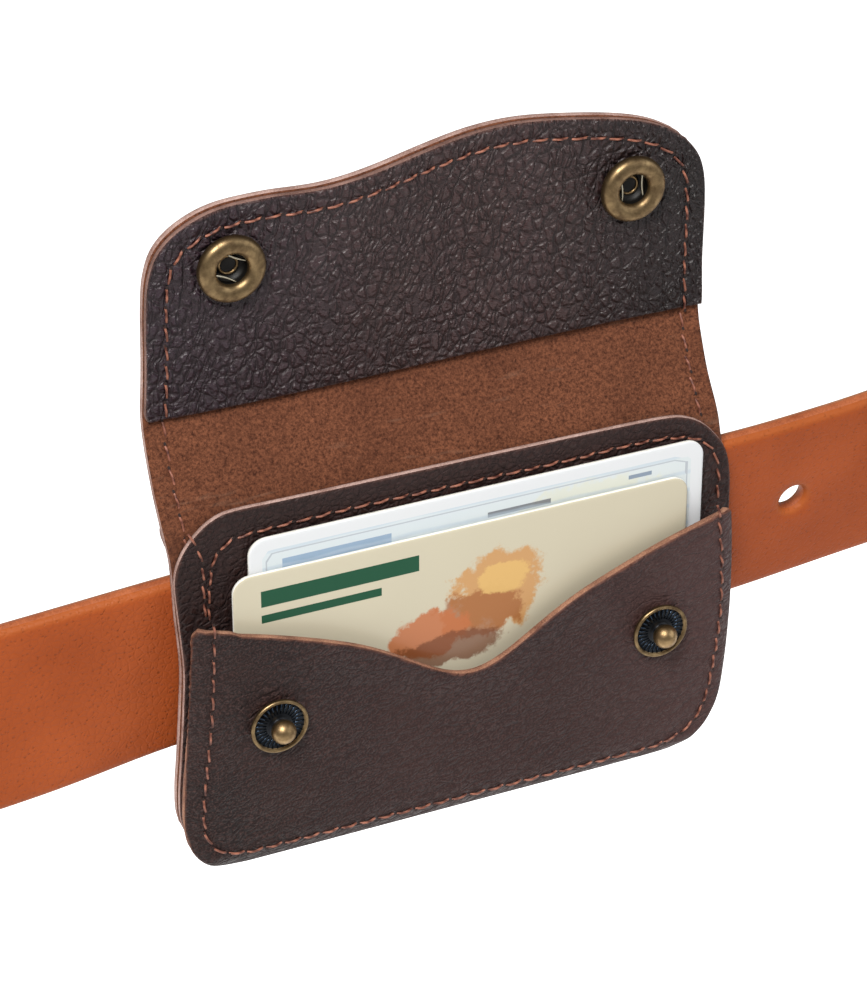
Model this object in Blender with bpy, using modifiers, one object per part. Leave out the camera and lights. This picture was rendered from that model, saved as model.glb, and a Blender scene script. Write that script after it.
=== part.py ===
# Snap-top leather money belt: a two-snap pouch with two blank cards, worn on a buckled waist belt.
# Frame: metres, +Z up. The wearer's waist is on the +Y side, the pouch faces -Y, the belt runs along X.
# The origin is on the rear face of the pouch, at the height of the middle of the belt.
import bpy
import bmesh
from math import cos, exp, pi, radians, sin, sqrt
from mathutils import Matrix

MM = 0.001
GAP = 0.3 * MM                      # clearance between pieces that touch

# pouch
HALF_WIDTH = 52.5 * MM
BOTTOM_Z = -43.0 * MM
PANEL_TOP_Z = 28.0 * MM
CORNER_R = 13.0 * MM
LOOP_PANEL_T = 2.0 * MM
SHELL_T = 1.8 * MM
INNER_PANEL_T = 1.2 * MM
POCKET_T = 1.6 * MM
TUNNEL = 5.0 * MM                   # room between the belt-loop panel and the shell
SEAM_INSET = 4.0 * MM
THREAD_R = 0.25 * MM
THREAD_LIFT = 0.1 * MM             # clearance between a thread and the leather it is pulled onto

# flap
FLAP_HALF_WIDTH = 53.0 * MM
FLAP_FRONT_Y = 0.3 * MM             # grain face of the facing, at rest
FACING_T = 1.4 * MM
FACING_LOW_Z = 44.5 * MM
FLAP_TOP_Z = 81.5 * MM
FLAP_LOW_Z = 35.0 * MM              # below this the leather bends, and belongs to no rigid piece
FOLD_Z = 26.7 * MM                  # height of the flap's hinge line, at y = -9.5 mm

# cards, ISO ID-1
CARD_W = 85.6 * MM
CARD_H = 54.0 * MM
CARD_T = 0.76 * MM
CARD_R = 3.2 * MM
FRONT_CARD_TOP_Z = 15.4 * MM
REAR_CARD_TOP_Z = 21.5 * MM
REAR_CARD_X = 3.4 * MM

# snaps
SNAP_X = 36.5 * MM
STUD_Z = -13.4 * MM
STUD_FLANGE_R = 5.3 * MM
BALL_R = 2.05 * MM
SOCKET_R = 6.25 * MM
SOCKET_HOLE_R = 2.8 * MM
SPRING_R = 0.2 * MM

# belt
BELT_W = 35.0 * MM
BELT_T = 3.8 * MM
BELT_Y = -4.4 * MM                  # mid-thickness of the strap, behind the pouch
FRONT_RUN = 226.0 * MM              # straight run across the front
FRONT_MID_X = 21.0 * MM
CORNER_BEND_R = 58.0 * MM
CORNER_TURN = radians(80)
RISE_PER_X = 0.056                  # the strap climbs towards the buckle
RISE_PER_Y = 0.22                   # and sits higher at the back of the waist
HOLE_R = 2.6 * MM
HOLE_PITCH = 25.4 * MM
FIRST_HOLE_X = 66.9 * MM
HOLES = 5
BUCKLED_HOLE = 2                    # the third hole, which the prong is in
TIP_PAST_LAST_HOLE = 70.0 * MM
FOLD_BACK = 48.0 * MM               # the end that is folded round the buckle's bar

# buckle
BAR_R = 2.0 * MM
BAR_X = 133.0 * MM
BAR_Y = -0.2 * MM
FRAME_REACH = 37.0 * MM
PRONG_R = 1.6 * MM

# ---- stack of layers, from the wearer outwards (each Y is the face nearer the viewer, -Y) ----
SHELL_BACK_Y = -LOOP_PANEL_T - TUNNEL
SHELL_FRONT_Y = SHELL_BACK_Y - SHELL_T
PANEL_BACK_Y = SHELL_FRONT_Y - GAP
PANEL_FRONT_Y = PANEL_BACK_Y - INNER_PANEL_T
REAR_CARD_Y = PANEL_FRONT_Y - THREAD_LIFT - 2 * THREAD_R - 0.1 * MM - CARD_T / 2
FRONT_CARD_Y = REAR_CARD_Y - CARD_T - 0.35 * MM
POCKET_RISE = 3.6 * MM              # how far the cards and rivets push the pocket out
POCKET_BACK_EDGE_Y = PANEL_FRONT_Y - GAP
POCKET_FRONT_Y = POCKET_BACK_EDGE_Y - POCKET_RISE - POCKET_T
SOCKET_Z = 2 * FOLD_Z - STUD_Z      # the flap turns half a turn, so it lands on the studs


def clearScene():
    for ob in list(bpy.data.objects):
        bpy.data.objects.remove(ob)


def collection(name):
    col = bpy.data.collections.new(name)
    bpy.context.scene.collection.children.link(col)
    return col


clearScene()
PARTS = collection("money_belt")
TOOLS = collection("cutters")


def material(name, rgb, roughness, metallic=0.0):
    mat = bpy.data.materials.new(name)
    mat.use_nodes = True
    shader = mat.node_tree.nodes["Principled BSDF"]
    shader.inputs["Base Color"].default_value = (*rgb, 1.0)
    shader.inputs["Roughness"].default_value = roughness
    shader.inputs["Metallic"].default_value = metallic
    return mat


DARK = material("dark_brown_leather", (0.035, 0.022, 0.02), 0.5)
SUEDE = material("brown_leather_flesh_side", (0.14, 0.065, 0.04), 0.85)
TAN = material("tan_harness_leather", (0.38, 0.12, 0.05), 0.4)
BRASS = material("antique_brass", (0.42, 0.30, 0.14), 0.3, 1.0)
STEEL = material("spring_steel", (0.45, 0.44, 0.42), 0.3, 1.0)
THREAD = material("copper_thread", (0.36, 0.14, 0.09), 0.6)
CREAM = material("cream_card", (0.68, 0.59, 0.42), 0.35)
PALE = material("pale_blue_card", (0.66, 0.72, 0.78), 0.3)


def addObject(name, data, mat=None, col=None):
    ob = bpy.data.objects.new(name, data)
    (col or PARTS).objects.link(ob)
    if mat:
        data.materials.append(mat)
    return ob


def asCutter(ob):
    ob.hide_render = True
    ob.display_type = "WIRE"
    return ob


def toMesh(ob):
    # a curve's caps are loose, so they are welded when it becomes a mesh
    depsgraph = bpy.context.evaluated_depsgraph_get()
    mesh = bpy.data.meshes.new_from_object(ob.evaluated_get(depsgraph))
    bm = bmesh.new()
    bm.from_mesh(mesh)
    bmesh.ops.remove_doubles(bm, verts=bm.verts, dist=1e-6)
    bm.to_mesh(mesh)
    bm.free()
    name, matrix, col = ob.name, ob.matrix_world.copy(), ob.users_collection[0]
    bpy.data.objects.remove(ob)
    new = bpy.data.objects.new(name, mesh)
    new.matrix_world = matrix
    col.objects.link(new)
    return new


def boolean(ob, cutter, operation):
    mod = ob.modifiers.new(operation.lower(), "BOOLEAN")
    mod.operation = operation
    mod.object = cutter
    mod.solver = "EXACT"
    return mod


def arc(cx, cz, r, a0, a1, steps=7):
    # points on an arc, angles in degrees from +X towards +Z
    angles = [radians(a0 + (a1 - a0) * i / steps) for i in range(steps + 1)]
    return [(cx + r * cos(a), cz + r * sin(a)) for a in angles]


def roundedOutline(half, low, high, rLow, rHigh, midX=0.0):
    left, right = midX - half, midX + half
    rightSide = arc(right - rLow, low + rLow, rLow, -90, 0) + arc(right - rHigh, high - rHigh, rHigh, 0, 90)
    leftSide = arc(left + rHigh, high - rHigh, rHigh, 90, 180) + arc(left + rLow, low + rLow, rLow, 180, 270)
    return rightSide + leftSide


def plate(name, outline, yMid, thickness, mat=None, col=None):
    # a flat outline in the XZ plane, extruded along Y
    curve = bpy.data.curves.new(name, "CURVE")
    curve.dimensions = "2D"
    curve.fill_mode = "BOTH"
    curve.extrude = thickness / 2
    spline = curve.splines.new("POLY")
    spline.points.add(len(outline) - 1)
    for point, (x, z) in zip(spline.points, outline):
        point.co = (x, z, 0.0, 1.0)
    spline.use_cyclic_u = True
    ob = addObject(name, curve, mat, col)
    ob.rotation_euler = (pi / 2, 0, 0)
    ob.location = (0, yMid, 0)
    bpy.context.view_layer.update()
    return ob


def wire(name, points, radius, mat, cyclic=False):
    curve = bpy.data.curves.new(name, "CURVE")
    curve.dimensions = "3D"
    curve.bevel_depth = radius
    curve.bevel_resolution = 2
    curve.use_fill_caps = True
    spline = curve.splines.new("POLY")
    spline.points.add(len(points) - 1)
    for point, co in zip(spline.points, points):
        point.co = (*co, 1.0)
    spline.use_cyclic_u = cyclic
    return addObject(name, curve, mat)


def turned(name, profile, at, mat, steps=32, closed=False):
    # a profile of (radius, distance towards the viewer), turned about an axis along Y
    mesh = bpy.data.meshes.new(name)
    bm = bmesh.new()
    verts = [bm.verts.new((r, 0.0, h)) for r, h in profile]
    for a, b in zip(verts, verts[1:]):
        bm.edges.new((a, b))
    if closed:
        bm.edges.new((verts[-1], verts[0]))
    bm.to_mesh(mesh)
    bm.free()
    ob = addObject(name, mesh, mat)
    screw = ob.modifiers.new("turn", "SCREW")
    screw.steps = screw.render_steps = steps
    screw.use_merge_vertices = True
    screw.merge_threshold = 1e-5
    screw.use_smooth_shade = True
    ob.rotation_euler = (pi / 2, 0, 0)
    ob.location = at
    return ob


def gridSheet(name, mat, thickness, columns, rows, place, offset=0.0, col=None):
    # a grid over 0..1 by 0..1, put in place by a rule, then given its thickness
    mesh = bpy.data.meshes.new(name)
    bm = bmesh.new()
    bmesh.ops.create_grid(bm, x_segments=columns, y_segments=rows, size=0.5)
    for vert in bm.verts:
        vert.co = place(vert.co.x + 0.5, vert.co.y + 0.5)
    bm.to_mesh(mesh)
    bm.free()
    ob = addObject(name, mesh, mat, col)
    solid = ob.modifiers.new("leather", "SOLIDIFY")
    solid.thickness = thickness
    solid.offset = offset
    solid.use_even_offset = True
    return ob


def smooth(t):
    t = min(max(t, 0.0), 1.0)
    return t * t * (3 - 2 * t)


def shapedSheet(name, mat, thickness, outline, surfaceY, box, columns, rows):
    # a sheet whose middle follows surfaceY(x, z), trimmed to an outline
    x0, x1, z0, z1 = box

    def place(u, v):
        x, z = x0 + (x1 - x0) * u, z0 + (z1 - z0) * v
        return (x, surfaceY(x, z), z)

    ob = gridSheet(name, mat, thickness, columns, rows, place)
    trim = toMesh(plate(name + "_outline", outline, 0.0, 80 * MM, col=TOOLS))
    boolean(ob, asCutter(trim), "INTERSECT")
    return ob


def drill(ob, x, z, radius, name):
    # a round hole along Y
    bm = bmesh.new()
    bmesh.ops.create_cone(bm, cap_ends=True, segments=24, radius1=radius, radius2=radius, depth=40 * MM)
    bmesh.ops.rotate(bm, verts=bm.verts, matrix=Matrix.Rotation(pi / 2, 3, "X"))
    bmesh.ops.translate(bm, verts=bm.verts, vec=(x, 0, z))
    mesh = bpy.data.meshes.new(name)
    bm.to_mesh(mesh)
    bm.free()
    cutter = asCutter(addObject(name, mesh, col=TOOLS))
    boolean(ob, cutter, "DIFFERENCE")


# ---- leather of the pouch ----
BODY_OUTLINE = roundedOutline(HALF_WIDTH, BOTTOM_Z, PANEL_TOP_Z, CORNER_R, CORNER_R)


def loopPanelY(x, z):
    # flat over the belt, drawn in to the shell where it is sewn, above and below the belt
    sewn = smooth((z - 20 * MM) / (7 * MM)) + smooth((-31 * MM - z) / (9 * MM))
    return -LOOP_PANEL_T / 2 - (TUNNEL - GAP) * min(sewn, 1.0)


def pocketCushion(x, z):
    # 0 along the sewn sides and bottom, 1 where cards lie behind
    side = smooth((HALF_WIDTH - abs(x) - 3 * MM) / (6.5 * MM))
    low = smooth((z - BOTTOM_Z - 1.4 * MM) / (3.0 * MM))
    return side * low


def pocketMidY(x, z):
    return POCKET_BACK_EDGE_Y - POCKET_RISE * pocketCushion(x, z) - POCKET_T / 2


def pocketFaceY(x, z, lift):
    # a place in front of the grain face, measured square to the leather where it slopes
    step = 0.1 * MM
    slopeX = (pocketMidY(x + step, z) - pocketMidY(x - step, z)) / (2 * step)
    slopeZ = (pocketMidY(x, z + step) - pocketMidY(x, z - step)) / (2 * step)
    return pocketMidY(x, z) - (POCKET_T / 2 + lift) * sqrt(1 + slopeX ** 2 + slopeZ ** 2)


def pocketTopZ(x):
    # level at the sides, with a finger dip in the middle
    slope = 0.3 * (50 * MM - sqrt(x * x + (6 * MM) ** 2))
    return 8 * MM - slope - 7.2 * MM * exp(-(x / (15.5 * MM)) ** 2)


def pouchLeather():
    wide = HALF_WIDTH + 2 * MM
    shapedSheet("belt_loop_panel", DARK, LOOP_PANEL_T, BODY_OUTLINE, loopPanelY,
                (-wide, wide, BOTTOM_Z - 2 * MM, PANEL_TOP_Z + 2 * MM), 2, 30)
    plate("shell_back", BODY_OUTLINE, (SHELL_BACK_Y + SHELL_FRONT_Y) / 2, SHELL_T, SUEDE)
    plate("inner_panel", BODY_OUTLINE, (PANEL_BACK_Y + PANEL_FRONT_Y) / 2, INNER_PANEL_T, DARK)
    side = HALF_WIDTH - 1.0 * MM
    steps = 32
    top = [(side - 2 * side * i / steps) for i in range(steps + 1)]
    outline = (arc(side - CORNER_R, BOTTOM_Z + CORNER_R, CORNER_R, -90, 0)
               + [(x, pocketTopZ(x)) for x in top]
               + arc(-side + CORNER_R, BOTTOM_Z + CORNER_R, CORNER_R, 180, 270))
    pocket = shapedSheet("front_pocket", DARK, POCKET_T, outline,
                         pocketMidY,
                         (-wide, wide, BOTTOM_Z - 2 * MM, 12 * MM), 36, 24)
    for side, x in (("left", -SNAP_X), ("right", SNAP_X)):
        drill(pocket, x, STUD_Z, 2.2 * MM, "stud_hole_" + side)


# ---- leather of the flap, standing open ----
def flapBackY(x, z):
    # the shell leaves the pouch's back, leans away and stands up behind the facing
    upright = FLAP_FRONT_Y + FACING_T + GAP + SHELL_T / 2
    back = (SHELL_BACK_Y + SHELL_FRONT_Y) / 2
    return back + (upright - back) * smooth((z - 22 * MM) / (21 * MM))


def flapLeather():
    outline = roundedOutline(FLAP_HALF_WIDTH, FLAP_LOW_Z, FLAP_TOP_Z, 0.5 * MM, 14 * MM)
    wide = FLAP_HALF_WIDTH + 2 * MM
    flap = shapedSheet("flap", SUEDE, SHELL_T, outline, flapBackY,
                       (-wide, wide, FLAP_LOW_Z - 2 * MM, FLAP_TOP_Z + 2 * MM), 2, 24)
    outline = roundedOutline(FLAP_HALF_WIDTH, FACING_LOW_Z, FLAP_TOP_Z, 0.5 * MM, 14 * MM)
    facing = toMesh(plate("flap_facing", outline, FLAP_FRONT_Y + FACING_T / 2, FACING_T))
    facing.data.materials.clear()
    facing.data.materials.append(DARK)
    for side, x in (("left", -SNAP_X), ("right", SNAP_X)):
        drill(flap, x, SOCKET_Z, 3.9 * MM, "cap_hole_" + side)
        drill(facing, x, SOCKET_Z, 3.9 * MM, "socket_hole_" + side)


# ---- threads: one on each sewn line ----
def seams():
    lift = THREAD_LIFT + THREAD_R
    inset = HALF_WIDTH - SEAM_INSET
    low = BOTTOM_Z + 3.2 * MM
    r = CORNER_R - SEAM_INSET
    topZ = pocketTopZ(inset)
    down = [(inset, topZ - 0.8 * MM - (topZ - low - r) * i / 8) for i in range(8)]
    corner = arc(inset - r, low + r, r, 0, -90, 6)
    bottom = [((inset - r) * (1 - i / 12), low) for i in range(1, 12)]
    half = down + corner + bottom
    path = half + [(0.0, low)] + [(-x, z) for x, z in reversed(half)]
    wire("seam_body", [(x, pocketFaceY(x, z, 2 * GAP + THREAD_R), z) for x, z in path], THREAD_R, THREAD)
    high = PANEL_TOP_Z - SEAM_INSET - 0.4 * MM
    rise = [(inset, topZ + 1.2 * MM + (high - r - topZ - 1.2 * MM) * i / 3) for i in range(3)]
    half = rise + arc(inset - r, high - r, r, 0, 90, 6)
    path = half + [(0.0, high)] + [(-x, z) for x, z in reversed(half)]
    wire("seam_panel", [(x, PANEL_FRONT_Y - lift, z) for x, z in path], THREAD_R, THREAD)
    inset = FLAP_HALF_WIDTH - SEAM_INSET
    high = FLAP_TOP_Z - SEAM_INSET
    r = 14 * MM - SEAM_INSET
    start = FACING_LOW_Z + 1 * MM
    rise = [(inset, start + (high - r - start) * i / 5) for i in range(5)]
    half = rise + arc(inset - r, high - r, r, 0, 90, 6)
    path = half + [(0.0, high)] + [(-x, z) for x, z in reversed(half)]
    wire("seam_flap", [(x, FLAP_FRONT_Y - lift, z) for x, z in path], THREAD_R, THREAD)


# ---- cards ----
def cards():
    for name, x, y, top, mat in (("card_front", 0.0, FRONT_CARD_Y, FRONT_CARD_TOP_Z, CREAM),
                                 ("card_rear", REAR_CARD_X, REAR_CARD_Y, REAR_CARD_TOP_Z, PALE)):
        outline = roundedOutline(CARD_W / 2, top - CARD_H, top, CARD_R, CARD_R, midX=x)
        plate(name, outline, y, CARD_T, mat)


# ---- snaps ----
def ballProfile(base, top):
    # neck and round head, from the top of the ball down to the neck's foot
    centre = top - BALL_R
    head = [(BALL_R * sin(radians(a)), centre + BALL_R * cos(radians(a))) for a in range(0, 136, 15)]
    return head + [(1.45 * MM, base)]


def studs():
    # (radius, distance in front of the pocket's grain face)
    face = -POCKET_FRONT_Y
    flange, rim = 0.55 * MM, 0.9 * MM
    outside = ballProfile(flange, 4.5 * MM)
    plateau = [(2.3 * MM, flange), (4.5 * MM, flange), (4.8 * MM, rim), (5.1 * MM, rim),
               (STUD_FLANGE_R, rim - 0.3 * MM), (STUD_FLANGE_R - 0.2 * MM, GAP)]
    bore = [(2.1 * MM, GAP), (2.1 * MM, GAP - 0.1 * MM), (0.0, GAP - 0.1 * MM)]
    under = -POCKET_T - GAP
    post = [(0.0, 0.0), (1.6 * MM, 0.0), (1.9 * MM, -0.2 * MM), (1.9 * MM, under)]
    head = [(4.0 * MM, under), (4.2 * MM, under - GAP), (3.6 * MM, under - 2 * GAP), (0.0, under - 2 * GAP)]
    rivet = post + head
    for side, x in (("left", -SNAP_X), ("right", SNAP_X)):
        at = (x, -face, STUD_Z)
        turned("stud_" + side, outside + plateau + bore, at, BRASS)
        turned("stud_rivet_" + side, rivet, at, BRASS)


def sockets():
    # (radius, distance in front of the facing's grain face)
    sandwich = FACING_T + GAP + SHELL_T
    dome = [(SOCKET_R - 0.35 * MM, GAP)]
    ring = [(3.1 * MM, 1.9 * MM), (3.9 * MM, 2.15 * MM), (4.7 * MM, 2.0 * MM), (5.6 * MM, 1.5 * MM),
            (6.1 * MM, 0.95 * MM), (SOCKET_R, 0.55 * MM)]
    inside = [(3.6 * MM, GAP), (3.6 * MM, -1.2 * MM), (3.2 * MM, -1.2 * MM), (3.2 * MM, 0.8 * MM),
              (SOCKET_HOLE_R, 1.1 * MM), (SOCKET_HOLE_R, 1.6 * MM)]
    cap = [(0.0, -1.9 * MM), (2.6 * MM, -1.9 * MM), (3.0 * MM, -2.1 * MM), (3.0 * MM, -sandwich - GAP),
           (5.8 * MM, -sandwich - GAP), (6.3 * MM, -sandwich - 0.6 * MM), (6.1 * MM, -sandwich - 1.0 * MM),
           (4.9 * MM, -sandwich - 1.6 * MM), (3.0 * MM, -sandwich - 2.0 * MM), (0.0, -sandwich - 2.15 * MM)]
    for side, x in (("left", -SNAP_X), ("right", SNAP_X)):
        at = (x, FLAP_FRONT_Y, SOCKET_Z)
        turned("socket_" + side, ring + dome + inside, at, BRASS, closed=True)
        turned("snap_cap_" + side, cap, at, BRASS)
        leg, y = 2.45 * MM, FLAP_FRONT_Y - 0.2 * MM
        bow = [(leg * cos(radians(a)), 0.5 * MM + leg * sin(radians(a)) * 0.8) for a in range(160, 19, -20)]
        path = [(-leg, -1.5 * MM), (-leg, 0.4 * MM)] + bow + [(leg, 0.4 * MM), (leg, -1.5 * MM)]
        wire("snap_spring_" + side, [(x + px, y, SOCKET_Z + pz) for px, pz in path], SPRING_R, STEEL)


# ---- belt: a straight front run, two corner bends and one wide bend round the back ----
BACK_R = CORNER_BEND_R + FRONT_RUN / 2 / sin(CORNER_TURN)
RUN_START_X = FRONT_MID_X - FRONT_RUN / 2
LOOP_LEGS = ((FRONT_RUN, None), (CORNER_BEND_R * CORNER_TURN, CORNER_BEND_R),
             (BACK_R * 2 * (pi - CORNER_TURN), BACK_R), (CORNER_BEND_R * CORNER_TURN, CORNER_BEND_R))
LOOP_LENGTH = sum(length for length, bend in LOOP_LEGS)


def loopPoint(s, out):
    # the point a distance s round the loop from the left end of the front run, moved out from the waist
    x, y, heading = RUN_START_X, BELT_Y, 0.0
    for i, (length, bend) in enumerate(LOOP_LEGS):
        step = min(s, length) if i < len(LOOP_LEGS) - 1 else s
        if bend is None:
            x, y = x + step * cos(heading), y + step * sin(heading)
        else:
            turn = step / bend
            x += bend * (sin(heading + turn) - sin(heading))
            y += bend * (cos(heading) - cos(heading + turn))
            heading += turn
        s -= step
        if s <= 0:
            break
    x, y = x + out * sin(heading), y - out * cos(heading)
    return x, y, RISE_PER_X * x + RISE_PER_Y * (y - BELT_Y)


LAYER = BELT_T + GAP
BAR_S = BAR_X - RUN_START_X
FOLD_BEND = BAR_R + GAP + BELT_T / 2
TIP_S = FIRST_HOLE_X - RUN_START_X + (HOLES - 1) * HOLE_PITCH + TIP_PAST_LAST_HOLE


def strapPath():
    # from the end of the fold, round the buckle's bar, round the waist, and through the buckle to the tip
    points = []
    for i in range(12):
        d = FOLD_BACK * (1 - i / 12)
        spread = 1 - smooth(d / (16 * MM))
        points.append(loopPoint(BAR_S + d, -LAYER - (2 * FOLD_BEND - LAYER) * spread))
    xBar, yBar, zBar = loopPoint(BAR_S, -FOLD_BEND)
    for i in range(9):
        a = pi / 2 + pi * i / 8
        x = xBar + FOLD_BEND * cos(a)
        points.append((x, yBar + FOLD_BEND * sin(a), RISE_PER_X * x))
    round1 = LOOP_LENGTH - BAR_S
    for i in range(1, 91):
        points.append(loopPoint(BAR_S + round1 * i / 90, 0.0))
    for i in range(1, 61):
        s = TIP_S * i / 60
        points.append(loopPoint(s, LAYER * smooth((s - BAR_S + 34 * MM) / (20 * MM))))
    return points


def strap():
    points = strapPath()
    last = len(points) - 1
    tipRound = 12 * MM

    def place(u, v):
        i = round(u * last)
        x, y, z = points[i]
        reach = (last - i) / 60 * TIP_S
        narrow = 0.0
        if reach < tipRound:
            narrow = 1 - sqrt(max(1 - ((tipRound - reach) / tipRound) ** 2, 0.0))
        return (x, y, z + BELT_W * (v - 0.5) * (1 - 0.6 * narrow))

    ob = gridSheet("belt_strap", TAN, BELT_T, last, 2, place)
    bevel = ob.modifiers.new("edges", "BEVEL")
    bevel.width = 0.8 * MM
    bevel.segments = 1
    bevel.angle_limit = radians(60)
    bevel.limit_method = "ANGLE"
    for i in range(HOLES):
        s = FIRST_HOLE_X - RUN_START_X + i * HOLE_PITCH
        if i == BUCKLED_HOLE:
            continue
        xa, ya, za = loopPoint(s, 0)
        xb, yb, zb = loopPoint(s, 10 * MM)
        cutRound(ob, (xa, ya, za), (xb, yb, zb), HOLE_R, "hole_%d" % (i + 1),
                 LAYER if i > BUCKLED_HOLE else 0.0)
    slot("prong_hole", ob, BAR_X - 17 * MM, BAR_X - 4.3 * MM, -12 * MM, -5.6 * MM, 2.3 * MM)
    slot("fold_slot", ob, BAR_X - 11 * MM, BAR_X + 8 * MM, -6.5 * MM, 8 * MM, 2.6 * MM)


def cutRound(ob, a, b, radius, name, out):
    # a hole along the line from a to b, through the layer that lies a distance out
    dx, dy = b[0] - a[0], b[1] - a[1]
    length = sqrt(dx * dx + dy * dy)
    ux, uy = dx / length, dy / length
    bm = bmesh.new()
    depth = BELT_T + 0.24 * MM
    bmesh.ops.create_cone(bm, cap_ends=True, segments=20, radius1=radius, radius2=radius, depth=depth)
    turn = Matrix(((uy, 0, ux), (-ux, 0, uy), (0, -1, 0)))
    bmesh.ops.rotate(bm, verts=bm.verts, matrix=turn)
    bmesh.ops.translate(bm, verts=bm.verts, vec=(a[0] + ux * out, a[1] + uy * out, a[2]))
    mesh = bpy.data.meshes.new(name)
    bm.to_mesh(mesh)
    bm.free()
    boolean(ob, asCutter(addObject(name, mesh, col=TOOLS)), "DIFFERENCE")


def slot(name, ob, x0, x1, y0, y1, half):
    bm = bmesh.new()
    bmesh.ops.create_cube(bm, size=1.0)
    bmesh.ops.scale(bm, verts=bm.verts, vec=(x1 - x0, y1 - y0, 2 * half))
    mid = (x0 + x1) / 2
    bmesh.ops.translate(bm, verts=bm.verts, vec=(mid, (y0 + y1) / 2, RISE_PER_X * mid))
    mesh = bpy.data.meshes.new(name)
    bm.to_mesh(mesh)
    bm.free()
    boolean(ob, asCutter(addObject(name, mesh, col=TOOLS)), "DIFFERENCE")


# ---- buckle ----
def buckle():
    zMid = RISE_PER_X * BAR_X
    halfHigh = BELT_W / 2 + 4.2 * MM
    r = 9 * MM
    reach = FRAME_REACH
    lean = 8.6 * MM / reach
    quarter = [radians(a) for a in range(0, 91, 15)]
    # plan of the frame from its heel bar: (distance towards the pouch, height)
    plan = [(0.0, -halfHigh + 2 * MM), (0.0, halfHigh - 2 * MM), (2 * MM, halfHigh)]
    plan += [(reach - r + r * sin(a), halfHigh - r + r * cos(a)) for a in quarter]
    plan += [(reach - r + r * sin(a), -halfHigh + r - r * cos(a)) for a in reversed(quarter)]
    plan += [(2 * MM, -halfHigh)]
    wire("buckle_frame", [(BAR_X - d, BAR_Y - d * lean, zMid - d * RISE_PER_X + h) for d, h in plan],
         BAR_R, BRASS, cyclic=True)
    eye = BAR_R + GAP + PRONG_R
    loop = [(eye * cos(radians(a)), eye * sin(radians(a))) for a in range(-60, 211, 30)]
    arm = [(-7.6 * MM, -5.2 * MM), (-10.8 * MM, -8.6 * MM), (-14.5 * MM, -11.6 * MM)]
    arm += [(-20 * MM, -12.6 * MM), (-30 * MM, -12.9 * MM), (-39.5 * MM, -12.9 * MM)]
    path = [(BAR_X + px, BAR_Y + py, zMid + RISE_PER_X * px) for px, py in loop + arm]
    wire("buckle_prong", path, PRONG_R, BRASS)


def keeper():
    # a leather band round all three layers, just past the buckle
    s = BAR_S + 22 * MM
    inner, outer = -LAYER - BELT_T / 2 - GAP - 0.9 * MM, LAYER + BELT_T / 2 + GAP + 0.9 * MM
    high = BELT_W / 2 + 2.0 * MM
    width = 11 * MM
    r = 1.6 * MM
    ring = ([(outer, -high + r), (outer, 0.0), (outer, high - r), (outer - r, high), (inner + r, high)]
            + [(inner, high - r), (inner, 0.0), (inner, -high + r), (inner + r, -high), (outer - r, -high)])
    count = len(ring)

    def place(u, v):
        out, h = ring[round(v * count) % count]
        x, y, z = loopPoint(s + width * (u - 0.5), out)
        return (x, y, z + h)

    ob = gridSheet("keeper", TAN, 1.8 * MM, 3, count, place)
    weld = ob.modifiers.new("close", "WELD")
    weld.merge_threshold = 1e-5
    while ob.modifiers[0].name != "close":
        ob.modifiers.move(1, 0)


pouchLeather()
flapLeather()
seams()
cards()
studs()
sockets()
strap()
buckle()
keeper()
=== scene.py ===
# Looks of the leather money belt: a snap-top card pouch on a buckled tan belt.
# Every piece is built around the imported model, in its frame: metres, +Z up, the pouch faces -Y.
from math import cos, pi, radians, sin, sqrt

import bmesh
import bpy
import numpy as np
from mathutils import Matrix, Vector, noise
from mathutils.geometry import delaunay_2d_cdt


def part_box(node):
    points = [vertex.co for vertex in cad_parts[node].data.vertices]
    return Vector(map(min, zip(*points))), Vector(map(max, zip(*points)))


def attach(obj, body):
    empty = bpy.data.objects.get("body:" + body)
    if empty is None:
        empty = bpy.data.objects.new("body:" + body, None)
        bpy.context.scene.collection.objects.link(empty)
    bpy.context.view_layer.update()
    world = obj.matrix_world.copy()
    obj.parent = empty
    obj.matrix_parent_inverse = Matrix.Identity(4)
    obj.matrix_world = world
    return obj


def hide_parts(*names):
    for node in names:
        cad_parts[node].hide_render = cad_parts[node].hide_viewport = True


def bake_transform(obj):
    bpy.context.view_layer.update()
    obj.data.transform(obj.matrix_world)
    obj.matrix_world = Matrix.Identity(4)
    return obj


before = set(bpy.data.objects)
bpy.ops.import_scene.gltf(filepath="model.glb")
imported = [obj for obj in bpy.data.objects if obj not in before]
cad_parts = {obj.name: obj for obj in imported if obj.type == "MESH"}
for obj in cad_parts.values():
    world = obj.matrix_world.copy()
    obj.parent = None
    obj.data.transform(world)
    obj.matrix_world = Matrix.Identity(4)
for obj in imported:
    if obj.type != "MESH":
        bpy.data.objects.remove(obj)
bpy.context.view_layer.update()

mm = 0.001
print("frame loaded:", len(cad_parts), "nodes")


# small helpers
def linear(hexColour):
    # sRGB hex to the linear colour that sockets take
    parts = [int(hexColour[i:i + 2], 16) / 255 for i in (1, 3, 5)]
    return tuple(c / 12.92 if c <= 0.04045 else ((c + 0.055) / 1.055) ** 2.4 for c in parts) + (1.0,)


def addNode(tree, kind, settings=None, feeds=None):
    # one node, with its settings and what feeds its inputs: a socket is linked, anything else is a value
    node = tree.nodes.new(kind)
    for key, value in (settings or {}).items():
        setattr(node, key, value)
    for key, value in (feeds or {}).items():
        socket = node.inputs[key]
        if isinstance(value, bpy.types.NodeSocket):
            tree.links.new(value, socket)
        else:
            socket.default_value = value
    return node


def newMaterial(name, **sockets):
    mat = bpy.data.materials.new(name)
    mat.use_nodes = True
    shader = mat.node_tree.nodes["Principled BSDF"]
    for key, value in sockets.items():
        shader.inputs[key.replace("_", " ")].default_value = value
    return mat, mat.node_tree, shader


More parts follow.
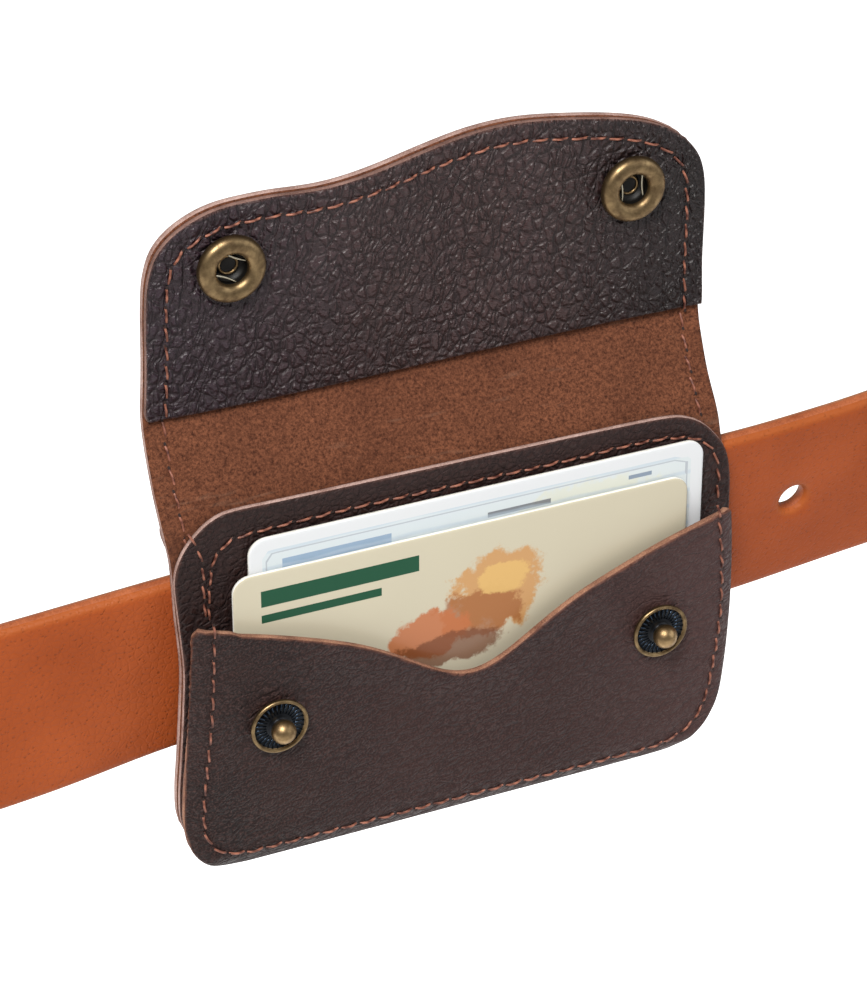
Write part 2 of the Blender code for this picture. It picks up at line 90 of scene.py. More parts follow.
def newObject(name, data):
    ob = bpy.data.objects.new(name, data)
    bpy.context.scene.collection.objects.link(ob)
    return ob


def facedOutwards(mesh):
    # every face turned to look out of the piece
    bm = bmesh.new()
    bm.from_mesh(mesh)
    bmesh.ops.recalc_face_normals(bm, faces=bm.faces)
    bm.to_mesh(mesh)
    bm.free()


def smoothStep(t):
    t = np.clip(t, 0.0, 1.0)
    return t * t * (3 - 2 * t)


def arcPoints(cx, cz, r, a0, a1, steps=16):
    angles = [radians(a0 + (a1 - a0) * i / steps) for i in range(steps + 1)]
    return [(cx + r * cos(a), cz + r * sin(a)) for a in angles]


def corners(node):
    low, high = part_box(node)
    return low, high, (low + high) / 2


# sizes read from the frame
panelLow, panelHigh = corners("inner_panel")[:2]
shellMid = corners("shell_back")[2]
facingLow, facingMid = corners("flap_facing")[::2]
flapHigh = corners("flap")[1]
studHigh, studMid = corners("stud_right")[1:]
socketMid = corners("socket_right")[2]

halfWidth = panelHigh.x
bottomZ = panelLow.z
snapX, studZ, socketZ = studMid.x, studMid.z, socketMid.z


# surfaces: the middle of each leather, as y over (x, z)
pouch = {
    "loopPanelThick": 2.0 * mm, "tunnel": 4.7 * mm,
    "shellThick": 1.8 * mm, "innerThick": 1.2 * mm, "pocketThick": 1.6 * mm, "facingThick": 1.4 * mm,
    "pocketRise": 3.6 * mm, "uprightY": flapHigh.y - 0.9 * mm, "facingLow": 41 * mm,
}
pocketBackY = panelLow.y - 0.3 * mm


def loopPanelY(x, z):
    sewn = smoothStep((z - 20 * mm) / (7 * mm)) + smoothStep((-31 * mm - z) / (9 * mm))
    return -pouch["loopPanelThick"] / 2 - pouch["tunnel"] * np.minimum(sewn, 1.0)


def pocketTopZ(x):
    # level at the sides, with a finger dip in the middle
    slope = 0.3 * (50 * mm - np.sqrt(x * x + (6 * mm) ** 2))
    return 8 * mm - slope - 7.2 * mm * np.exp(-(x / (15.5 * mm)) ** 2)


def pocketY(x, z):
    # the rim stays a little off the panel, where the seam pulls it in
    side = smoothStep((halfWidth + 0.4 * mm - np.abs(x)) / (4.6 * mm))
    low = smoothStep((z - bottomZ - 0.4 * mm) / (4.2 * mm))
    # the mouth stands off the cards between the snaps
    mouth = smoothStep((z - pocketTopZ(x) + 9 * mm) / (9 * mm))
    mouth = mouth * smoothStep((40 * mm - np.abs(x)) / (16 * mm))
    rise = pouch["pocketRise"] * (0.45 + 0.55 * side * low) + 0.7 * mm * mouth
    return pocketBackY - rise - pouch["pocketThick"] / 2


def flapWave(x, z):
    # soft waves of the standing leather, flat again where the sockets are set
    high = smoothStep((z - 40 * mm) / (24 * mm))
    clear = 1 - np.exp(-((np.abs(x) - snapX) / (11 * mm)) ** 2)
    bow = 1.5 * mm * np.exp(-((x - 12 * mm) / (13 * mm)) ** 2)
    bow = bow - 1.7 * mm * np.exp(-((x + 17 * mm) / (13 * mm)) ** 2)
    curl = 2.2 * mm * smoothStep((x - 46 * mm) / (9 * mm)) * smoothStep((z - 66 * mm) / (12 * mm))
    return high * clear * bow + curl


def shellY(x, z):
    lean = smoothStep((z - 22 * mm) / (21 * mm))
    return shellMid.y + (pouch["uprightY"] - shellMid.y) * lean + flapWave(x, z)


def facingY(x, z):
    return facingMid.y + flapWave(x, z)


def flatAt(y):
    return lambda x, z: y + 0 * x


def heightPlace(middle):
    # place(u, v, out): the point of a sheet y = middle(x, z), moved out from its middle towards -Y
    def place(x, z, out):
        step = 0.05 * mm
        slopeX = (middle(x + step, z) - middle(x - step, z)) / (2 * step)
        slopeZ = (middle(x, z + step) - middle(x, z - step)) / (2 * step)
        length = np.sqrt(1 + slopeX ** 2 + slopeZ ** 2)
        normal = np.stack([slopeX / length, -1 / length, slopeZ / length], -1)
        return np.stack([x, middle(x, z), z], -1) + normal * np.asarray(out)[..., None], normal
    return place


# a sheet: outline and holes triangulated flat, then given its place, thickness and cut edges
def evenLoop(loop, spacing):
    pts = np.array(loop, float)
    closed = np.vstack([pts, pts[:1]])
    steps = np.linalg.norm(np.diff(closed, axis=0), axis=1)
    along = np.concatenate([[0.0], np.cumsum(steps)])
    count = max(int(along[-1] / spacing), 12)
    at = np.linspace(0, along[-1], count, endpoint=False)
    return np.stack([np.interp(at, along, closed[:, i]) for i in (0, 1)], -1)


def loopNormals(loop):
    # unit vectors pointing away from the leather: out of the outline, or into a hole
    ahead, behind = np.roll(loop, -1, 0), np.roll(loop, 1, 0)
    t = ahead - behind
    t /= np.maximum(np.linalg.norm(t, axis=1), 1e-12)[:, None]
    return np.stack([t[:, 1], -t[:, 0]], -1)


def insideLoops(points, loops):
    crossings = np.zeros(len(points), int)
    for loop in loops:
        a, b = loop, np.roll(loop, -1, 0)
        for (x0, y0), (x1, y1) in zip(a, b):
            if y0 == y1:
                continue
            hit = ((points[:, 1] >= y0) != (points[:, 1] >= y1))
            cut = x0 + (points[:, 1] - y0) * (x1 - x0) / (y1 - y0)
            crossings += hit & (points[:, 0] < cut)
    return crossings % 2 == 1


def loopDistance(points, loops):
    best = np.full(len(points), 1e9)
    for loop in loops:
        a, b = loop, np.roll(loop, -1, 0)
        for p, q in zip(a, b):
            d = q - p
            length = max(d @ d, 1e-18)
            t = np.clip((points - p) @ d / length, 0, 1)
            best = np.minimum(best, np.linalg.norm(points - p - t[:, None] * d, axis=1))
    return best


def sheetMesh(name, look, materials):
    # look: the outline and holes, place(u, v, out), thickness, relief and how the cut edges are rounded;
    # materials: grain side, back and cut edge
    spacing = look.get("edgeStep", 0.7 * mm)
    grid = look.get("grid", 1.0 * mm)
    loops = [evenLoop(look["outline"], spacing)] + [evenLoop(h, 0.35 * mm) for h in look.get("holes", [])]
    loops += [np.array(h) for h in look.get("exactHoles", [])]
    if "exactOutline" in look:
        loops[0] = np.array(look["exactOutline"])
    for i, loop in enumerate(loops):
        area = np.sum(loop[:, 0] * np.roll(loop[:, 1], -1) - loop[:, 1] * np.roll(loop[:, 0], -1))
        if (area > 0) != (i == 0):
            loops[i] = loop[::-1]
    rim = np.vstack(loops)
    inner = []
    for depth in (0.25 * mm, 0.7 * mm):
        for loop in loops:
            ring = loop - loopNormals(loop) * depth
            inner.append(ring[loopDistance(ring, loops) > 0.85 * depth])
    if "gridPoints" in look:
        cells = look["gridPoints"]
    else:
        low, high = rim.min(0), rim.max(0)
        gx, gy = np.meshgrid(np.arange(low[0], high[0], grid), np.arange(low[1], high[1], grid))
        cells = np.stack([gx.ravel(), gy.ravel()], -1)
    cells = cells[insideLoops(cells, loops)]
    cells = cells[loopDistance(cells, loops) > 1.05 * mm]
    flat = np.vstack([rim] + inner + [cells])
    edges, start = [], 0
    for loop in loops:
        n = len(loop)
        edges += [(start + i, start + (i + 1) % n) for i in range(n)]
        start += n
    scale = 1000.0  # the triangulation works in millimetres
    out = delaunay_2d_cdt([Vector(p * scale) for p in flat], edges, [], 0, 1e-5)
    verts = np.array([(v.x, v.y) for v in out[0]]) / scale
    source = [ids[0] if ids else -1 for ids in out[3]]
    faces = np.array([f for f in out[2] if len(f) == 3])
    middle = verts[faces].mean(1)
    faces = faces[insideLoops(middle, loops)]
    used = np.unique(faces)
    remap = np.full(len(verts), -1)
    remap[used] = np.arange(len(used))
    verts, faces = verts[used], remap[faces]
    source = [source[i] for i in used]
    turned = np.cross(verts[faces[:, 1]] - verts[faces[:, 0]], verts[faces[:, 2]] - verts[faces[:, 0]]) < 0
    faces[turned] = faces[turned][:, ::-1]

    distance = loopDistance(verts, loops)
    edgeRound, edgeLeft = look.get("edgeRound", 0.45 * mm), look.get("edgeLeft", 0.7)
    part = np.clip(distance / edgeRound, 0, 1)
    profile = edgeLeft + (1 - edgeLeft) * np.sqrt(1 - (1 - part) ** 2)
    half = look["thick"] / 2 * profile
    relief = look["relief"](verts[:, 0], verts[:, 1], distance) if "relief" in look else 0 * distance
    front, _ = look["place"](verts[:, 0], verts[:, 1], half + relief)
    back, _ = look["place"](verts[:, 0], verts[:, 1], -half)
    count = len(verts)

    toNew = {s: i for i, s in enumerate(source) if s >= 0}
    coords, uvs, wall = [front, back], [verts, verts], []
    start, offset = 0, 2 * count
    rng = np.random.default_rng(look.get("seed", 4))
    for loop in loops:
        n = len(loop)
        ids = [toNew[start + i] for i in range(n)]
        push = look.get("edgeBulge", 0.1 * mm) + look.get("rough", 0.0) * rng.normal(size=n)
        bulged = loop + loopNormals(loop) * push[:, None]
        mid, _ = look["place"](bulged[:, 0], bulged[:, 1], 0 * push)
        coords.append(mid)
        uvs.append(loop)
        for i in range(n):
            j = (i + 1) % n
            wall.append((ids[i], ids[j], offset + j, offset + i))
            wall.append((offset + i, offset + j, ids[j] + count, ids[i] + count))
        start += n
        offset += n
    allCoords, allUvs = np.vstack(coords), np.vstack(uvs)
    allFaces = [tuple(f) for f in faces] + [(a + count, c + count, b + count) for a, b, c in faces] + wall
    slots = [0] * len(faces) + [1] * len(faces) + [2] * len(wall)
    mesh = bpy.data.meshes.new(name)
    mesh.from_pydata([tuple(c) for c in allCoords], [], [tuple(int(i) for i in f) for f in allFaces])
    for mat in materials:
        mesh.materials.append(mat)
    mesh.polygons.foreach_set("material_index", slots)
    mesh.polygons.foreach_set("use_smooth", [True] * len(mesh.polygons))
    rest = mesh.attributes.new("restPlace", "FLOAT_VECTOR", "POINT")
    outward = np.concatenate([half, -half, np.zeros(len(allCoords) - 2 * count)])
    restValues = allCoords if "flatRest" not in look else np.column_stack([allUvs, outward])
    rest.data.foreach_set("vector", restValues.astype(np.float32).ravel())
    near = mesh.attributes.new("edgeDistance", "FLOAT", "POINT")
    fromEdge = np.concatenate([distance, distance, np.zeros(len(allCoords) - 2 * count)])
    near.data.foreach_set("value", fromEdge.astype(np.float32))
    facedOutwards(mesh)
    return newObject(name, mesh)


def pathDistance(x, z, path):
    points = np.stack([x, z], -1)
    best = np.full(len(points), 1e9)
    for p, q in zip(path[:-1], path[1:]):
        p, q = np.array(p), np.array(q)
        d = q - p
        t = np.clip((points - p) @ d / max(d @ d, 1e-18), 0, 1)
        best = np.minimum(best, np.linalg.norm(points - p - t[:, None] * d, axis=1))
    return best


def softNoise(x, z, size, seed):
    return np.array([noise.noise(Vector((a / size, b / size, seed))) for a, b in zip(x, z)])


# materials
def restPlaceOf(tree):
    return addNode(tree, "ShaderNodeAttribute", {"attribute_name": "restPlace"}).outputs["Vector"]


def grainHeight(tree, where, look):
    # two nets of creases between pebbles, bent by a slow noise, with fine pores on top
    slow = addNode(tree, "ShaderNodeTexNoise", {},
                   {"Vector": where, "Scale": 1 / look["warpSize"], "Detail": 2.0})
    shift = addNode(tree, "ShaderNodeVectorMath", {"operation": "MULTIPLY_ADD"},
                    {0: slow.outputs["Color"], 1: (look["warp"],) * 3, 2: (-look["warp"] / 2,) * 3})
    bent = addNode(tree, "ShaderNodeVectorMath", {"operation": "ADD"}, {0: where, 1: shift.outputs[0]})
    # each net gives thin creases along its lines and a round dome in every cell
    heights = []
    domes = []
    for cell, turn, width in ((look["cell"], look["turn"], look["creaseWidth"]),
                              (look["cell"] * 0.46, look["turn"] + 0.9, look["creaseWidth"] * 1.5)):
        scale = (1 / (cell * look["stretch"]), 1 / cell, 1 / cell)
        mapped = addNode(tree, "ShaderNodeMapping", {},
                         {"Vector": bent.outputs[0], "Rotation": (0, turn, 0)})
        sized = addNode(tree, "ShaderNodeVectorMath", {"operation": "MULTIPLY"},
                        {0: mapped.outputs[0], 1: scale})
        net = addNode(tree, "ShaderNodeTexVoronoi", {"feature": "DISTANCE_TO_EDGE"},
                      {"Vector": sized.outputs[0], "Scale": 1.0, "Randomness": 0.85})
        heights.append(addNode(tree, "ShaderNodeMapRange", {"interpolation_type": "SMOOTHSTEP"},
                               {"Value": net.outputs["Distance"], "From Max": width}).outputs[0])
        middle = addNode(tree, "ShaderNodeTexVoronoi", {"feature": "SMOOTH_F1"},
                         {"Vector": sized.outputs[0], "Scale": 1.0, "Randomness": 0.85, "Smoothness": 0.25})
        domes.append(addNode(tree, "ShaderNodeMath", {"operation": "POWER"},
                             {0: middle.outputs["Distance"], 1: 2.0}).outputs[0])
    # long soft wrinkles that wander along one direction of the hide
    along = addNode(tree, "ShaderNodeMapping", {}, {"Vector": bent.outputs[0],
                                                    "Rotation": (0, look["wrinkleTurn"], 0)})
    drawn = addNode(tree, "ShaderNodeVectorMath", {"operation": "MULTIPLY"},
                    {0: along.outputs[0], 1: (1 / (11 * mm), 1 / (5 * mm), 1 / look["wrinkleGap"])})
    folds = addNode(tree, "ShaderNodeTexNoise", {},
                    {"Vector": drawn.outputs[0], "Scale": 1.0, "Detail": 1.5})
    offFold = addNode(tree, "ShaderNodeMath", {"operation": "SUBTRACT"}, {0: folds.outputs["Fac"], 1: 0.5})
    foldGap = addNode(tree, "ShaderNodeMath", {"operation": "ABSOLUTE"}, {0: offFold.outputs[0]})
    wrinkle = addNode(tree, "ShaderNodeMapRange", {"interpolation_type": "SMOOTHSTEP"},
                      {"Value": foldGap.outputs[0], "From Max": 0.055})
    pores = addNode(tree, "ShaderNodeTexNoise", {},
                    {"Vector": where, "Scale": 1 / (0.36 * mm), "Detail": 3.0})
    wrinkled = addNode(tree, "ShaderNodeMath", {"operation": "MULTIPLY_ADD"},
                       {0: wrinkle.outputs[0], 1: look["wrinkle"], 2: heights[0]})
    creased = addNode(tree, "ShaderNodeMath", {"operation": "MULTIPLY_ADD"},
                      {0: heights[1], 1: look["fineShare"] * 0.4, 2: wrinkled.outputs[0]})
    rounded = addNode(tree, "ShaderNodeMath", {"operation": "MULTIPLY_ADD"},
                      {0: domes[0], 1: -look["dome"], 2: creased.outputs[0]})
    coarse = addNode(tree, "ShaderNodeMath", {"operation": "MULTIPLY_ADD"},
                     {0: domes[1], 1: -look["fineShare"] * look["dome"], 2: rounded.outputs[0]})
    total = addNode(tree, "ShaderNodeMath", {"operation": "MULTIPLY_ADD"},
                    {0: pores.outputs["Fac"], 1: look["poreShare"], 2: coarse.outputs[0]})
    lines = addNode(tree, "ShaderNodeMath", {"operation": "MULTIPLY"},
                    {0: heights[0], 1: wrinkle.outputs[0]})
    return lines.outputs[0], pores, slow, total


def grainLeather(name, look):
    # full-grain leather, milled so that it pebbles, pigmented dark and left satin: the lamps light the
    # pebble tops through the bump, the near-black creases are painted shade, and brown shows where edges
    # are rubbed
    mat, tree, shader = newMaterial(name, IOR=1.5, Specular_IOR_Level=look["shine"])
    where = restPlaceOf(tree)
    split = addNode(tree, "ShaderNodeSeparateXYZ", {}, {0: where})
    # painted shade and light across the piece: the left, top and right tones blend from the left end
    # through the middle to the right end; on the facing the left tone also carries a purple dye tint
    leftPart = addNode(tree, "ShaderNodeMapRange", {"interpolation_type": "SMOOTHSTEP"},
                       {"Value": split.outputs[0], "From Min": -46 * mm, "From Max": -4 * mm})
    rightPart = addNode(tree, "ShaderNodeMapRange", {"interpolation_type": "SMOOTHSTEP"},
                        {"Value": split.outputs[0], "From Min": 14 * mm, "From Max": 50 * mm})
    leftToneWithPaintedShade = addNode(tree, "ShaderNodeMix", {"data_type": "RGBA"},
                       {0: leftPart.outputs[0], 6: linear(look["left"]), 7: linear(look["top"])})
    toneWithPaintedSideLight = addNode(tree, "ShaderNodeMix", {"data_type": "RGBA"},
                   {0: rightPart.outputs[0], 6: leftToneWithPaintedShade.outputs[2], 7: linear(look["right"])})
    lines, pores, slow, total = grainHeight(tree, where, look)
    bump = addNode(tree, "ShaderNodeBump", {}, {"Height": total.outputs[0], "Strength": look["strength"],
                                                "Distance": look["depth"]})
    tree.links.new(bump.outputs[0], shader.inputs["Normal"])
    # painted shade in the creases: the crease colour darkens the crease and wrinkle lines
    creaseShadeMask = addNode(tree, "ShaderNodeMapRange", {"interpolation_type": "SMOOTHSTEP"},
                     {"Value": lines, "From Min": -look["creaseSoft"], "From Max": look["creaseShadeReach"]})
    creaseShaded = addNode(tree, "ShaderNodeMix", {"data_type": "RGBA"},
                   {0: creaseShadeMask.outputs[0], 6: linear(look["creaseShade"]), 7: toneWithPaintedSideLight.outputs[2]})
    drift = addNode(tree, "ShaderNodeTexNoise", {},
                    {"Vector": where, "Scale": 1 / (14 * mm), "Detail": 3.0})
    driftPart = addNode(tree, "ShaderNodeMapRange", {}, {"Value": drift.outputs["Fac"], "From Min": 0.35,
                                                         "From Max": 0.75, "To Max": look["driftShare"]})
    cloudy = addNode(tree, "ShaderNodeMix", {"data_type": "RGBA"},
                     {0: driftPart.outputs[0], 6: creaseShaded.outputs[2], 7: linear(look["drift"])})
    fleck = addNode(tree, "ShaderNodeMapRange", {}, {"Value": pores.outputs["Fac"], "From Min": 0.46,
                                                     "From Max": 0.72, "To Max": look["fleckShare"]})
    flecked = addNode(tree, "ShaderNodeMix", {"data_type": "RGBA"},
                      {0: fleck.outputs[0], 6: cloudy.outputs[2], 7: linear(look["fleck"])})
    edge = addNode(tree, "ShaderNodeAttribute", {"attribute_name": "edgeDistance"})
    ragged = addNode(tree, "ShaderNodeMath", {"operation": "MULTIPLY_ADD"},
                     {0: slow.outputs["Fac"], 1: 0.9 * mm, 2: edge.outputs["Fac"]})
    rub = addNode(tree, "ShaderNodeMapRange", {"interpolation_type": "SMOOTHSTEP"},
                  {"Value": ragged.outputs[0], "From Min": 0.9 * mm, "From Max": 0.35 * mm,
                   "To Max": look["rub"]})
    worn = addNode(tree, "ShaderNodeMix", {"data_type": "RGBA"},
                   {0: rub.outputs[0], 6: flecked.outputs[2], 7: linear(look["rubbed"])})
    tree.links.new(worn.outputs[2], shader.inputs["Base Color"])
    shine = addNode(tree, "ShaderNodeMapRange", {}, {"Value": lines, "To Min": look["rough"] + 0.2,
                                                     "To Max": look["rough"]})
    tree.links.new(shine.outputs[0], shader.inputs["Roughness"])
    return mat


def fleshLeather(name, look):
    # the back of the hide, sueded and never finished: short loose fibres that catch light as fine specks,
    # long pale scuffs and a few pressed marks
    mat, tree, shader = newMaterial(name, IOR=1.45, Roughness=0.95, Specular_IOR_Level=0.15,
                                    Sheen_Weight=0.06)
    where = restPlaceOf(tree)
    specks = addNode(tree, "ShaderNodeTexNoise", {},
                     {"Vector": where, "Scale": 1 / (0.5 * mm), "Detail": 3.0,
                                                      "Roughness": 0.8})
    tufts = addNode(tree, "ShaderNodeTexNoise", {},
                    {"Vector": where, "Scale": 1 / (0.8 * mm), "Detail": 3.0,
                                                     "Distortion": 0.8})
    slow = addNode(tree, "ShaderNodeTexNoise", {}, {"Vector": where, "Scale": 1 / (18 * mm), "Detail": 2.0})
    mixOf = addNode(tree, "ShaderNodeMath", {"operation": "MULTIPLY_ADD"},
                    {0: tufts.outputs["Fac"], 1: 0.3, 2: specks.outputs["Fac"]})
    ramp = addNode(tree, "ShaderNodeMapRange", {},
                   {"Value": mixOf.outputs[0], "From Min": 0.46, "From Max": 0.88})
    base = addNode(tree, "ShaderNodeMix", {"data_type": "RGBA"},
                   {0: ramp.outputs[0], 6: linear(look["deep"]), 7: linear(look["tip"])})
    long = addNode(tree, "ShaderNodeMapping", {}, {"Vector": where, "Rotation": (0, 0.5, 0),
                                                   "Scale": (90, 90, 700)})
    scuff = addNode(tree, "ShaderNodeTexNoise", {},
                    {"Vector": long.outputs[0], "Scale": 1.0, "Detail": 3.0})
    scuffPart = addNode(tree, "ShaderNodeMapRange", {}, {"Value": scuff.outputs["Fac"], "From Min": 0.64,
                                                         "From Max": 0.78, "To Max": look["scuffShare"]})
    scuffed = addNode(tree, "ShaderNodeMix", {"data_type": "RGBA"},
                      {0: scuffPart.outputs[0], 6: base.outputs[2], 7: linear(look["scuff"])})
    slowPart = addNode(tree, "ShaderNodeMapRange", {}, {"Value": slow.outputs["Fac"], "From Min": 0.35,
                                                        "From Max": 0.7, "To Max": 0.35})
    shaded = addNode(tree, "ShaderNodeMix", {"data_type": "RGBA"},
                     {0: slowPart.outputs[0], 6: scuffed.outputs[2], 7: linear(look["deep"])})
    tree.links.new(shaded.outputs[2], shader.inputs["Base Color"])
    bump = addNode(tree, "ShaderNodeBump", {}, {"Height": mixOf.outputs[0], "Strength": 0.8,
                                                "Distance": 0.16 * mm})
    tree.links.new(bump.outputs[0], shader.inputs["Normal"])
    return mat


def cutEdge(name, look):
    # a knife-cut, unsealed edge: packed fibres, paler in the middle of the hide, with the dye creeping in
    mat, tree, shader = newMaterial(name, IOR=1.45, Roughness=look["rough"])
    where = restPlaceOf(tree)
    fibres = addNode(tree, "ShaderNodeTexNoise", {},
                     {"Vector": where, "Scale": 1 / (0.3 * mm), "Detail": 4.0,
                                                      "Roughness": 0.7})
    patches = addNode(tree, "ShaderNodeTexNoise", {},
                      {"Vector": where, "Scale": 1 / (5 * mm), "Detail": 2.0})
    both = addNode(tree, "ShaderNodeMath", {"operation": "MULTIPLY_ADD"},
                   {0: patches.outputs["Fac"], 1: 0.8, 2: fibres.outputs["Fac"]})
    part = addNode(tree, "ShaderNodeMapRange", {},
                   {"Value": both.outputs[0], "From Min": 0.65, "From Max": 1.15})
    tint = addNode(tree, "ShaderNodeMix", {"data_type": "RGBA"},
                   {0: part.outputs[0], 6: linear(look["dark"]), 7: linear(look["pale"])})
    tree.links.new(tint.outputs[2], shader.inputs["Base Color"])
    bump = addNode(tree, "ShaderNodeBump", {}, {"Height": fibres.outputs["Fac"], "Strength": 0.7,
                                                "Distance": 0.15 * mm})
    tree.links.new(bump.outputs[0], shader.inputs["Normal"])
    return mat


def harnessLeather(name, look):
    # vegetable-tanned harness leather, drum-dyed and waxed: even tan with faint hair pores and soft
    # clouding
    mat, tree, shader = newMaterial(name, IOR=1.5, Specular_IOR_Level=0.14)
    where = restPlaceOf(tree)
    cloud = addNode(tree, "ShaderNodeTexNoise", {},
                    {"Vector": where, "Scale": 1 / (16 * mm), "Detail": 4.0})
    cloudPart = addNode(tree, "ShaderNodeMapRange", {}, {"Value": cloud.outputs["Fac"], "From Min": 0.3,
                                                         "From Max": 0.7})
    body = addNode(tree, "ShaderNodeMix", {"data_type": "RGBA"},
                   {0: cloudPart.outputs[0], 6: linear(look["deep"]), 7: linear(look["light"])})
    pores = addNode(tree, "ShaderNodeTexVoronoi", {}, {"Vector": where, "Scale": 1 / (0.9 * mm)})
    poreDip = addNode(tree, "ShaderNodeMapRange", {"interpolation_type": "SMOOTHSTEP"},
                      {"Value": pores.outputs["Distance"], "From Min": 0.12, "From Max": 0.3})
    net = addNode(tree, "ShaderNodeTexVoronoi", {"feature": "DISTANCE_TO_EDGE"},
                  {"Vector": where, "Scale": 1 / (1.3 * mm)})
    netDip = addNode(tree, "ShaderNodeMapRange", {"interpolation_type": "SMOOTHSTEP"},
                     {"Value": net.outputs["Distance"], "From Max": 0.2, "To Max": 0.5})
    grain = addNode(tree, "ShaderNodeMath", {"operation": "ADD"},
                    {0: poreDip.outputs[0], 1: netDip.outputs[0]})
    grainPart = addNode(tree, "ShaderNodeMapRange", {},
                        {"Value": grain.outputs[0], "To Min": 0.5, "From Max": 1.2,
                                                         "To Max": 0.0})
    pored = addNode(tree, "ShaderNodeMix", {"data_type": "RGBA"},
                    {0: grainPart.outputs[0], 6: body.outputs[2], 7: linear(look["pore"])})
    edge = addNode(tree, "ShaderNodeAttribute", {"attribute_name": "edgeDistance"})
    rub = addNode(tree, "ShaderNodeMapRange", {"interpolation_type": "SMOOTHSTEP"},
                  {"Value": edge.outputs["Fac"], "From Min": 1.5 * mm, "From Max": 0.2 * mm,
                   "To Max": 0.45})
    burnished = addNode(tree, "ShaderNodeMix", {"data_type": "RGBA"},
                        {0: rub.outputs[0], 6: pored.outputs[2], 7: linear(look["edge"])})
    tree.links.new(burnished.outputs[2], shader.inputs["Base Color"])
    shader.inputs["Roughness"].default_value = look["rough"]
    bump = addNode(tree, "ShaderNodeBump", {}, {"Height": grain.outputs[0], "Strength": 0.8,
                                                "Distance": 0.1 * mm})
    tree.links.new(bump.outputs[0], shader.inputs["Normal"])
    return mat


def antiqueBrass(name, look):
    # brass plated on steel, blackened and rubbed back: dull olive-brown body, bright where hands and
    # tumbling reach
    mat, tree, shader = newMaterial(name, Metallic=1.0)
    where = addNode(tree, "ShaderNodeTexCoord").outputs["Object"]
    patina = addNode(tree, "ShaderNodeTexNoise", {},
                     {"Vector": where, "Scale": 1 / (1.8 * mm), "Detail": 5.0,
                                                      "Roughness": 0.65})
    part = addNode(tree, "ShaderNodeMapRange", {}, {"Value": patina.outputs["Fac"], "From Min": 0.32,
                                                    "From Max": 0.68})
    tint = addNode(tree, "ShaderNodeMix", {"data_type": "RGBA"},
                   {0: part.outputs[0], 6: linear(look["dull"]), 7: linear(look["bright"])})
    tree.links.new(tint.outputs[2], shader.inputs["Base Color"])
    rough = addNode(tree, "ShaderNodeMapRange", {}, {"Value": patina.outputs["Fac"], "From Min": 0.3,
                                                     "From Max": 0.7, "To Min": look["rough"] + 0.12,
                                                     "To Max": look["rough"] - 0.04})
    tree.links.new(rough.outputs[0], shader.inputs["Roughness"])
    grit = addNode(tree, "ShaderNodeTexNoise", {},
                   {"Vector": where, "Scale": 1 / (0.25 * mm), "Detail": 2.0})
    bump = addNode(tree, "ShaderNodeBump", {}, {"Height": grit.outputs["Fac"], "Strength": 0.12,
                                                "Distance": 0.04 * mm})
    tree.links.new(bump.outputs[0], shader.inputs["Normal"])
    return mat


def plainFinish(name, colourA, colourB, size, rough, metallic=0.0, depth=0.03 * mm):
    # a small part's finish: two close tones drifting into each other, with a fine tooth
    mat, tree, shader = newMaterial(name, Roughness=rough, Metallic=metallic)
    where = addNode(tree, "ShaderNodeTexCoord").outputs["Object"]
    drift = addNode(tree, "ShaderNodeTexNoise", {}, {"Vector": where, "Scale": 1 / size, "Detail": 3.0})
    tint = addNode(tree, "ShaderNodeMix", {"data_type": "RGBA"},
                   {0: drift.outputs["Fac"], 6: linear(colourA), 7: linear(colourB)})
    tree.links.new(tint.outputs[2], shader.inputs["Base Color"])
    bump = addNode(tree, "ShaderNodeBump", {}, {"Height": drift.outputs["Fac"], "Strength": 0.4,
                                                "Distance": depth})
    tree.links.new(bump.outputs[0], shader.inputs["Normal"])
    return mat


def twistedThread(name, look):
    # bonded polyester thread: three waxed plies laid in a twist; light bands about a stitch apart are a
    # painted highlight for the crown of each stitch
    mat, tree, shader = newMaterial(name, IOR=1.5, Roughness=0.45, Specular_IOR_Level=0.35)
    where = addNode(tree, "ShaderNodeTexCoord").outputs["Object"]
    plies = addNode(tree, "ShaderNodeTexWave", {"bands_direction": "DIAGONAL"},
                    {"Vector": where, "Scale": 1 / (3.4 * mm), "Distortion": 1.5})
    tone = addNode(tree, "ShaderNodeTexNoise", {},
                   {"Vector": where, "Scale": 1 / (1.1 * mm), "Detail": 2.0})
    part = addNode(tree, "ShaderNodeMath", {"operation": "MULTIPLY_ADD"},
                   {0: plies.outputs["Fac"], 1: 0.4, 2: tone.outputs["Fac"]})
    spread = addNode(tree, "ShaderNodeMapRange", {},
                     {"Value": part.outputs[0], "From Min": 0.4, "From Max": 1.0})
    # painted highlight and shade: the thread's light and dark tones follow the ply bands, lighter on their
    # raised crests
    tint = addNode(tree, "ShaderNodeMix", {"data_type": "RGBA"},
                   {0: spread.outputs[0], 6: linear(look["dark"]), 7: linear(look["light"])})
    tree.links.new(tint.outputs[2], shader.inputs["Base Color"])
    bump = addNode(tree, "ShaderNodeBump", {}, {"Height": plies.outputs["Fac"], "Strength": 0.5,
                                                "Distance": 0.08 * mm})
    tree.links.new(bump.outputs[0], shader.inputs["Normal"])
    return mat
